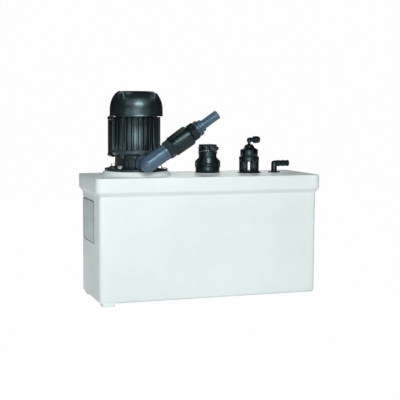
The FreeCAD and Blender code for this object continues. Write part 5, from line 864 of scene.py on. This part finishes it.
def make_cowl():
    """Fan cover: a dome with four screw bosses let into it, posts inside, and a ringed grille."""
    rows = dome_rows()
    inner = soft([(54.0, COWL_BASE), (53.4, COWL_BASE + 0.3), (53.6, 407.2), (52.9, 416.0), (49.1, 427.6),
        (43.2, 436.3), (37.4, 441.1), (34, 441.1)], 1.5, 3)
    profile = np.concatenate([rows, inner, rows[:1]])
    points = turned(profile, 120, PATTERN)
    quads = grid_faces(*points.shape[:2], loop=True).reshape(len(profile) - 1, 120, 4)
    low, high = (int(np.argmin(np.abs(rows[:DOME_ROWS, 0] - radius))) for radius in (38.9, 54.8))
    reach = 4
    keep = np.ones(quads.shape[:2], bool)
    near = (np.arange(120) + reach) % 30 < 2 * reach
    keep[low:high, near] = False
    patch = boss_patch(rows, low, high, reach)
    boss = closed(placed(patch, (*PUMP, 0)))
    middle = (PUMP[0] + BOSS_CIRCLE * MM, PUMP[1], 0)
    post = lathe([(1.9, 399), (5.6, 399), (5.6, 421), (1.9, 433.9)], middle, steps=24)
    screw = lathe([(0, 395), (1.8, 395), (1.8, 434.0), (3.7, 434.0), (3.7, 436.2), (2.9, 437.0),
        (1.5, 437.0), (1.4, 435.2), (0, 435.2)], middle, soften=0.25, steps=32, ring=False)
    build("cover_screws", four(screw), "dark_steel", "cowl_screws")
    dome = placed(points, (*PUMP, 0)), quads[keep]
    build("fan_cover", [dome, *four(boss), *four(post)], "cowl_plastic", "fan_cowl")
    make_grille()


def make_grille():
    """Ringed grille: a flat sheet from the middle out, its columns gathered along eight ribs of one
    width, with the faces of four ring slots left out, then given its thickness."""
    radii = np.array([0, 3.5, 7, 11, 14, 18, 21, 25, 28, 32, 34.0])
    half = np.arcsin(1.75 / np.maximum(radii, 3.5))[:, None]
    share = np.linspace(0, 1, 7)[None, 1:-1]
    one = np.concatenate([-half, half, half + (math.pi / 4 - 2 * half) * share], axis=1)
    sector = np.arange(8) * (math.pi / 4)
    angle = (PATTERN + one[:, None, :] + sector[None, :, None]).reshape(len(radii), -1)
    points = raised(polar(radii[:, None], angle), GRILLE_TOP)
    quads = grid_faces(*points.shape[:2], loop=True).reshape(len(radii) - 1, -1, 4)
    keep = np.ones(quads.shape[:2], bool)
    keep[np.ix_([2, 4, 6, 8], np.nonzero(np.arange(angle.shape[1]) % 7 != 0)[0])] = False
    part = placed(points, (*PUMP, 0)), quads[keep]
    grille = build("fan_cover_grille", [part], "cowl_plastic", "fan_cowl", up=True)
    modify(grille, "Depth", "SOLIDIFY", thickness=2.2 * MM, offset=-1)
    modify(grille, "Edge", "BEVEL", width=0.35 * MM, segments=2)


# Delivery line: distances are counted from the middle of the elbow's knee

def knee_pipe(outside, inside, radii, knee, come, go, cols=48):
    """A pipe round a knee, outside and bore, each as the rows of its way in and of its way out."""
    outer = kneed(*outside, radii[0], knee, come, go, cols)
    inner = kneed(*(np.array(rows, float) for rows in inside), radii[1], knee, come, go, cols)
    return closed(np.concatenate([outer, inner[::-1], outer[:1]]))


def make_delivery_elbow():
    """Grey elbow: round-kneed pipe with a bead at each mouth, its bore and its two sockets."""
    come = soft([(27, 12.9), (27, 17.1), (24.6, 17.1), (24.4, 16.5), (3, 16.5)], [0, 0.6, 0.5, 0.3, 0])
    go = soft([(3, 16.5), (37.9, 16.5), (38.1, 17.1), (40.5, 17.1), (40.5, 12.9)], [0, 0.3, 0.5, 0.6, 0])
    bores = [(27, 12.5), (11, 12.5), (11, 9.5), (10, 9.5)], [(10, 9.5), (21.8, 9.5), (21.8, 12.5),
        (40.5, 12.5)]
    pipe = knee_pipe((come, go), bores, (16.5, 9.5), KNEE, (0, -1, 0), LINE[2], 72)
    build("elbow_bend", [pipe], "grey_plastic", "delivery_elbow")


def make_valve():
    """Check valve: barrel with a hexagon end, and the screwed cap with its own hexagon."""
    hexagon = lathe([(11.5, 47.5), (18.7, 47.5), (20.0, 48.2), (20.0, 61.0), (18.7, 61.7), (11.5, 61.7)],
        KNEE, LINE, 0.25, 72, 0, (34.5, 6))
    barrel = lathe([(8, 61.2), (18.6, 60.4), (20.6, 62.4), (20.6, 68.2), (21.4, 68.6), (22.35, 104.4),
        (18.6, 108.9), (17, 108.9), (17, 68), (8, 68)], KNEE, LINE, [0, 0.4, 0.4, 0.2, 0.4, 1.2, 0.6, 0, 0,
        0], 96)
    rings = [lathe([(20.2, start), (21.7, start), (21.7, start + 1.9), (20.2, start + 1.9)], KNEE, LINE,
        [0, 0.9, 0.9, 0], 96) for start in (62.6, 65.2)]
    build("grip_rings", rings, "fitting_plastic", "check_valve_body")
    build("valve_barrel", [hexagon, barrel], "valve_plastic", "check_valve_body")
    cap = lathe([(14, 108.9), (18.7, 108.9), (20.0, 109.6), (20.0, 122.2), (18.7, 122.9), (11, 122.9),
        (11, 111)], KNEE, LINE, 0.25, 72, math.radians(11), (34.5, 6))
    build("valve_cap", [cap], "valve_plastic", "check_valve_cap")


def make_spring():
    """Valve spring: a round wire of radius 0.5 on a helix of five turns and mean radius 5, its ends closed."""
    turn = np.linspace(0, 10 * math.pi, 181)[:, None]
    round_wire = np.linspace(0, 2 * math.pi, 13)[None, :-1]
    low, high, travel = 69.0, 96.1, 6.0
    slope = math.atan2((high - low) / 5, 2 * math.pi * 5)
    wire = np.full((181, 1), 0.5)
    wire[[0, -1]] = 0.0
    out = 5 + wire * np.cos(round_wire)
    side = wire * np.sin(round_wire)
    points = np.stack([out * np.cos(turn) - side * math.sin(slope) * np.sin(turn),
        out * np.sin(turn) + side * math.sin(slope) * np.cos(turn),
        low + (high - low) * turn / (10 * math.pi) - side * math.cos(slope)], axis=-1)
    spring = build("coil_spring", [closed(placed(points, KNEE, LINE))], "steel", "valve_spring")
    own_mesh(spring)


def make_tail():
    """Grey neck, rubber ring and ringed hose tail after the valve, and the grey collar before it."""
    build("nipple_collar", [lathe([(8.5, 22), (12.4, 22), (12.4, 40.5), (16.2, 40.5), (17, 41.3),
        (17, 46.7), (16.2, 47.5), (11.4, 47.5), (11.4, 60.5), (8.5, 60.5)], KNEE, LINE, 0.5, 72)],
        "grey_plastic", "threaded_nipple")
    build("adapter_neck", [lathe([(7.5, 112), (10.9, 112), (10.9, 122.9), (13.5, 122.9), (13.5, 126.2),
        (16.5, 126.2), (16.5, 128.6), (7.5, 128.6)], KNEE, LINE, 0.4, 72)], "grey_plastic", "tail_adapter")
    build("rubber_ring", [lathe([(9.8, 128.6), (16.7, 128.6), (17.2, 129.1), (17.2, 130.1), (16.7, 130.6),
        (9.8, 130.6)], KNEE, LINE, 0.4, 72)], "rubber", "tail_o_ring")
    ring = 155.1 + 3.0 * np.arange(8)
    grooves = np.stack([np.stack([np.full(8, 9.8), ring], -1), np.stack([np.full(8, 8.9), ring + 0.4], -1),
        np.stack([np.full(8, 9.8), ring + 2.8], -1)], axis=1).reshape(-1, 2)
    front = [(7.5, 130.6), (16.5, 130.6), (16.5, 133.8), (12.2, 134.8), (12.2, 136.6), (13.2, 137.1),
        (13.2, 141.9), (9.8, 142.4)]
    corners = np.concatenate([front, grooves, [(9.8, 181.1), (7.5, 181.1)]])
    radius = np.concatenate([[0, 0.5, 0.7, 0.4, 0.3, 0.4, 0.4, 0.3], np.tile([0.3, 0.25, 0.5], 8),
        [1.8, 0.3]])
    build("ringed_tail", [lathe(corners, KNEE, LINE, radius, 72)], "grey_plastic", "hose_tail")


# Fittings on the tank top

def make_inlet():
    """Eared tank connector and its rubber sleeve."""
    place = (*INLET, 0)
    skirt = [(15, 247.6), (17.4, 247.6), (17.4, 266.6), (25.4, 266.6), (25.4, 280.4), (24.8, 281.0),
        (25.2, 282.3), (25.2, 283.7), (24.6, 285.0), (24.9, 286.3), (24.6, 287.7), (23.2, 289.0),
        (17.5, 289.0), (17.5, 300.0), (15, 300.0)]
    wing = np.array([(17, 266.6), (27.1, 266.6), (27.1, 276.6), (28.6, 279.0), (28.6, 291.8), (20.3, 300.0),
        (17, 300.0)])
    outline = soft(wing, [0, 0.6, 0.8, 0.8, 1.6, 1.5, 0], 5, ring=True)
    wings = [slab(outline, -3.5, 3.5, place, ((side, 0, 0), (0, 0, 1), (0, -side, 0)), 0.9)
        for side in (1, -1)]
    build("inlet_connector", [lathe(skirt, place, UPRIGHT, [0, 0, 0, 0.5, 0.3, 0.3, 0.6, 0.6, 0.5, 0.7, 0.6,
        0.5, 0, 0.3, 0.3], 96), *wings], "fitting_plastic", "inlet_union")
    sleeve = [(17.5, 289.0), (23.0, 289.0), (23.2, 289.5), (19.7, 300.0), (19.7, 329.0), (16, 329.0),
        (16, 300.0), (17.5, 300.0)]
    build("sleeve", [lathe(sleeve, place, UPRIGHT, [0, 0.3, 0.8, 4, 1.3, 1.1, 0, 0], 96)], "rubber",
        "inlet_sleeve")


CLAMP_Z = 316.0
CLAMP_LEAN = math.tan(math.radians(15))
CLAMP_TURN = math.radians(277)


def make_clamp():
    """Worm drive clamp set at a slant: band with rolled edges, a bright steel ring over its lower edge as
    painted highlight, saddle, and the slotted screw.
    """
    place = (*INLET, CLAMP_Z * MM)
    band = lathe([(19.75, -6.2), (20.9, -6.4), (21.2, -5.6), (20.5, -4.9), (20.5, 4.9), (21.2, 5.6),
        (20.9, 6.4), (19.75, 6.2)], place, soften=0.35, steps=96)
    across = (-math.sin(CLAMP_TURN), math.cos(CLAMP_TURN), 0)
    out = (math.cos(CLAMP_TURN), math.sin(CLAMP_TURN), 0)
    middle = np.array(place) + np.array(out) * 20.0 * MM
    saddle = slab(rounded(15.5, 14.6, 2.6), 0, 8.0, middle, (across, (0, 0, 1), out), 2.8)
    lip = slab(rounded(3.4, 13.4, 1.2), 0, 4.6, middle - np.array(across) * 10.4 * MM,
        (across, (0, 0, 1), out), 0.9)
    build("clamp_band", leaning((band, saddle, lip), place), "dark_steel", "inlet_clamp_band")
    # Bright steel ring over the band's lower rolled edge: painted highlight, standing in for the light that
    # edge catches.
    edge = lathe([(20.3, -7.0), (21.7, -7.0), (21.7, -5.5), (20.3, -5.5)], place, soften=0.6, steps=96)
    build("clamp_edge_highlight", leaning([edge], place), "steel", "inlet_clamp_band")
    axes = (out, (0, 0, 1), across)
    seat = np.array(place) + np.array(out) * 24.6 * MM
    head = lathe([(0, 7.0), (2.6, 7.0), (2.6, 8.3), (4.9, 8.3), (4.9, 9.2), (4.0, 9.4), (4.0, 12.6),
        (3.4, 13.3), (1.6, 13.3), (1.4, 12.3), (0, 12.3)], seat, axes, 0.2, 48, 0, (7, 6), ring=False)
    rim = lathe([(0, 7.9), (4.9, 7.9), (4.9, 9.3), (0, 9.3)], seat, axes, 0.3, 48, ring=False)
    stub = lathe([(0, -8.6), (2.4, -8.6), (3.0, -8.0), (3.0, -6.5), (0, -6.5)], seat, axes, 0.3, 32,
        ring=False)
    build("clamp_screw", leaning((head, rim, stub), place), "dark_steel", "inlet_clamp_screw")


RIBS, RIB_DEPTH = 9, 0.6


def arc_block(inner, outer, low, high, start, end):
    """A block bent round an axis. Its outline runs along the outer arc, where each rib swells the radius
    by half a sine, and back along the inner one, and is carried from low to high with softened ends."""
    t = np.linspace(0, 1, 8 * RIBS + 9)
    angle = start + (end - start) * t
    swell = outer + RIB_DEPTH * np.abs(np.sin(math.pi * RIBS * t))
    back = np.linspace(end, start, 9)
    outline = np.concatenate([polar(swell, angle), polar(inner, back)])
    return slab(outline, low, high, (*GAP, 0), edge=0.4)


def make_cage():
    """Cage of the air gap: a foot flange on its threaded spigot, four ribbed legs, and the ring above."""
    place = (*GAP, 0)
    foot = lathe([(13, 246), (15.4, 246), (15.4, 265), (26.5, 265), (27.0, 265.9), (26.0, 266.9),
        (22.4, 267.8), (22.4, 269.7), (17.4, 269.7), (17.4, 268.8), (13, 267.8)], place,
        soften=[0, .3, 0, .3, .5, .5, .5, .4, .3, .2, .2], steps=96)
    crown = lathe([(17.4, 290.0), (22.0, 290.0), (22.4, 290.5), (22.4, 300.6), (21.7, 301.4),
        (17.4, 301.4)], place, soften=0.3, steps=96)
    turn = math.radians(-18.8)
    gap = math.asin(4.3 / 22.4)
    half = math.pi / 4 - gap
    legs = [arc_block(17.4, 21.9, 269.4, 290.4, middle - half, middle + half)
        for middle in turn + (np.arange(4) + 0.5) * math.pi / 2]
    build("air_gap_frame", [foot, crown, *legs], "fitting_plastic", "air_gap_cage")


def make_push_in():
    """Swivel elbow: round-kneed body on its stem, with the nut at its mouth, and the release ring."""
    come = soft([(19.0, 2.0), (19.0, 3.3), (5.4, 3.3), (5.4, 4.6), (4.8, 5.25), (1, 5.25)],
        [0, .2, 0, .3, .3, 0])
    go = soft([(1, 5.0), (9.4, 5.0), (9.8, 7.2), (10.6, 8.0), (20.4, 8.0), (22.0, 6.6), (22.0, 5.1)],
        [0, .4, .3, .4, .5, .4, 0])
    bores = [(19.0, 2.0), (2.2, 2.0)], [(2.2, 2.0), (10.7, 2.0), (10.7, 5.1), (22.0, 5.1)]
    knee = (*GAP, 338.75 * MM)
    pipe = knee_pipe((come, go), bores, (5.15, 2.0), knee, UPRIGHT[2], UPRIGHT[0])
    build("swivel_elbow", [pipe], "fitting_plastic", "push_in_elbow", "swivel")
    ring = lathe([(4.05, 12.0), (5.0, 12.0), (5.0, 23.1), (6.1, 23.1), (6.4, 23.4), (6.4, 24.0),
        (6.1, 24.3), (4.3, 24.3), (4.05, 24.0)], knee, SIDEWAYS, 0.12, 48)
    build("release_ring", [ring], "fitting_plastic", "release_collet", "collet")


def make_air_gap():
    """Stepped cap of the air gap fitting, over its cage and under its swivel elbow."""
    place = (*GAP, 0)
    cap = [(15.2, 295.4), (17.35, 295.4), (17.35, 301.4), (19.8, 301.4), (19.8, 316.2), (19.0, 317.0),
        (11.4, 321.6), (11.2, 322.0), (11.2, 324.3), (10.4, 324.9), (6.6, 328.6), (3.4, 328.6),
        (3.4, 319.4), (2.0, 319.4), (2.0, 314.5), (15.2, 314.5)]
    build("air_gap_crown", [lathe(cap, place, UPRIGHT, [0, 0, 0, 0.5, 0.5, 0.8, 0.4, 0.5, 0.5, 0.6, 0.3, 0,
        0, 0, 0, 0], 72)], "fitting_plastic", "air_gap_cap")


def make_vent():
    """Barbed elbow: round flange, stem and a barbed pipe from its knee."""
    come = soft([(28, 3.8), (28, 6.5), (20.2, 6.5), (20.2, 13.7), (18.6, 13.7), (17.8, 12.9), (17.8, 8.0),
        (16.3, 6.5), (1, 6.5)], [0, 0, 0, 0.3, 0.4, 0.4, 0, 0.8, 0])
    barbs = [(1, 6.5)]
    for reach in (10.9, 21.8, 33.4):
        barbs += [(reach - 1.9, 6.4), (reach - 1.6, 7.3), (reach, 7.3), (min(reach + 2.2, 34.9), 6.4)]
    go = soft(barbs + [(35, 6.2), (35, 3.8)], 0.35)
    bores = [(28, 3.8), (4, 3.8)], [(4, 3.8), (35, 3.8)]
    pipe = knee_pipe((come, go), bores, (6.5, 3.8), (*VENT, 285.2 * MM), UPRIGHT[2], UPRIGHT[0])
    build("vent_barb", [pipe], "fitting_plastic", "vent_elbow")


def make_tie_screws():
    """Four long screws in the grooves between the fins, their flat heads under the tabs."""
    screw = lathe([(0, 302.8), (2.7, 302.8), (2.7, 304.8), (2.0, 304.8), (2.0, 392.5), (0, 392.5)],
        (PUMP[0] + 48.4 * MM, PUMP[1], 0), soften=0.2, steps=32, ring=False)
    build("long_screws", four(screw), "dark_steel", "tie_bolts")


LUG_TOP = 281.9
PORT_Z = 292.7
HEAD_R = 45.5
FORWARD = ((1, 0, 0), (0, 0, 1), (0, -1, 0))


def head_wall():
    """Wall of the head as a grid of angle and height. Inside each arched recess the radius is less by 0.9
    times a smooth step of the distance in from the arch's edge."""
    angle = (np.arange(240) * (2 * math.pi / 240))[None]
    height = np.array([280.0, 281.2, *np.linspace(282.4, 306.8, 34), 307.9, 308.6])[:, None]
    radius = np.full((len(height), 240), HEAD_R)
    radius[0] += 1.6
    radius[1] += 0.5
    radius[-1] -= 0.7
    for middle in np.radians([-40.2, 90, 220.2, 241, 299]):
        across = HEAD_R * ((angle - middle + math.pi) % (2 * math.pi) - math.pi)
        inside = 11 - np.hypot(across, np.maximum(height - PORT_Z, 0))
        inside = np.minimum(inside, height - 283.2)
        step = np.clip(inside / 1.4, 0, 1)
        radius -= 0.9 * step * step * (3 - 2 * step)
    points = raised(polar(radius, angle), height)
    inner = turned(np.array([(20, 308.6), (20, 281.0), (8, 281.0), (8, 280.0)], float), 240)
    points = np.concatenate([points, inner, points[:1]])
    return closed(placed(points, (*PUMP, 0)))


def off_front(angles):
    """Angle from the front, between minus and plus half a turn."""
    return (angles + 1.5 * math.pi) % (2 * math.pi) - math.pi


def notched(angles):
    """Radius of the base flange: full, but square to the front where the elbow's first leg passes."""
    off = off_front(angles)
    return np.where(np.abs(off - 0.04) < 0.235, 59.6 / np.cos(off), 100.0)


def cut_below(angles):
    """Radius of the port's collar where the pad below it cuts it flat."""
    off = off_front(angles)
    return np.where(np.abs(off) < 1.0, 16.0 / np.maximum(np.cos(off), 0.1), 100.0)


def make_head():
    """Cast head: base flange with its lugs, round body with arched recesses, and the port's collar."""
    place = (*PUMP, 0)
    flange = lathe([(8, 276.5), (67.3, 276.5), (67.3, 280.3), (8, 280.3)], place, UPRIGHT, 0.8, 240,
        limit=notched)
    lug = slab(soft([(42, -9), (68.4, -9), (68.4, 9), (42, 9)], [0, 8.8, 8.8, 0], 10, ring=True), 276.6,
        LUG_TOP, place, edge=0.9)
    port = (PUMP[0] + 2.5 * MM, PUMP[1], PORT_Z * MM)
    neck = lathe([(8.5, 41), (14.5, 41), (14.5, 52), (20, 52), (20, 60), (12.4, 60), (12.4, 77), (8.5, 77)],
        port, FORWARD, [0, 0, 1.2, 1.0, 1.0, 0, 0.3, 0], 96, limit=cut_below)
    build("cast_head", [head_wall(), flange, *four(lug), neck], "head_paint", "pump_head")


def make_bolts():
    """Four head screws: washer, chamfered hexagon head and shank, turned to the photograph's angle."""
    place = (PUMP[0] + 59.5 * MM, PUMP[1], 0)
    seat = LUG_TOP + 1.2
    washer = lathe([(3.1, LUG_TOP), (6.0, LUG_TOP), (6.0, seat), (3.1, seat)], place, steps=48)
    head = lathe([(0, 265), (3, 265), (3, seat), (4.9, seat), (5.8, seat + 0.3), (5.8, seat + 3.5),
        (5.1, seat + 4.4), (0, seat + 4.4)], place, UPRIGHT, 0.3, 48, math.radians(11) - PATTERN, (10, 6),
        ring=False)
    build("head_screws", [*four(washer), *four(head)], "steel", "head_bolts")


# Operators

class Step:
    """What the operators share: each runs its makers in order."""

    def execute(self, context):
        for make in self.makers:
            make()
        return {"FINISHED"}


class PUMP_OT_stage(Step, Operator):
    """Make the floor, the lamps and the camera"""

    bl_idname = "pump.stage"
    bl_label = "Stage"
    makers = (make_stage,)


class PUMP_OT_finishes(Step, Operator):
    """Give every CAD piece its own finish"""

    bl_idname = "pump.finishes"
    bl_label = "Finishes"
    makers = (dress_all,)


class PUMP_OT_tank(Step, Operator):
    """Make the moulded tank and its bare plate"""

    bl_idname = "pump.tank"
    bl_label = "Tank"
    makers = (make_tank, make_plate)


class PUMP_OT_motor(Step, Operator):
    """Make the finned barrel, its flange, the pump head and the fan cover"""

    bl_idname = "pump.motor"
    bl_label = "Motor"
    makers = (make_barrel, make_lower_shield, make_head, make_cowl, make_tie_screws, ease_cad_pieces)


class PUMP_OT_delivery(Step, Operator):
    """Make the elbow, the check valve and the hose tail"""

    bl_idname = "pump.delivery"
    bl_label = "Delivery line"
    makers = (make_delivery_elbow, make_valve, make_spring, make_tail)


class PUMP_OT_fittings(Step, Operator):
    """Make the inlet, the air gap fitting and the barbed elbow"""

    bl_idname = "pump.fittings"
    bl_label = "Fittings"
    makers = (make_inlet, make_clamp, make_cage, make_air_gap, make_push_in, make_vent)


class PUMP_OT_bolts(Step, Operator):
    """Make the four screws of the pump head"""

    bl_idname = "pump.bolts"
    bl_label = "Head screws"
    makers = (make_bolts,)


class PUMP_PT_panel(Panel):
    """The steps and settings, in the sidebar"""

    bl_idname = "PUMP_PT_panel"
    bl_label = "Brine lifting pump"
    bl_space_type = "VIEW_3D"
    bl_region_type = "UI"
    bl_category = "Pump"

    def draw(self, context):
        for step in STEPS:
            self.layout.operator(step.bl_idname)
        for holder, _ in HOLDERS:
            group = getattr(context.scene, holder)
            for name in group.bl_rna.properties.keys():
                if name not in {"rna_type", "name"}:
                    self.layout.prop(group, name)


STEPS = (PUMP_OT_finishes, PUMP_OT_tank, PUMP_OT_motor, PUMP_OT_delivery, PUMP_OT_fittings, PUMP_OT_bolts,
    PUMP_OT_stage)
HOLDERS = (("pump_tank", TankSettings), ("pump_black", BlackSettings), ("pump_grey", GreySettings),
    ("pump_stage", StageSettings))


def register():
    """Register the settings, the operators and the panel."""
    for holder, kind in HOLDERS:
        bpy.utils.register_class(kind)
        setattr(bpy.types.Scene, holder, PointerProperty(type=kind))
    for kind in STEPS + (PUMP_PT_panel,):
        bpy.utils.register_class(kind)


def unregister():
    """Take them out again."""
    for kind in (PUMP_PT_panel,) + STEPS:
        bpy.utils.unregister_class(kind)
    for holder, kind in HOLDERS:
        delattr(bpy.types.Scene, holder)
        bpy.utils.unregister_class(kind)


def main():
    """Run each step in order."""
    register()
    for step in STEPS:
        group, name = step.bl_idname.split(".")
        getattr(getattr(bpy.ops, group), name)()


if __name__ == "__main__":
    main()
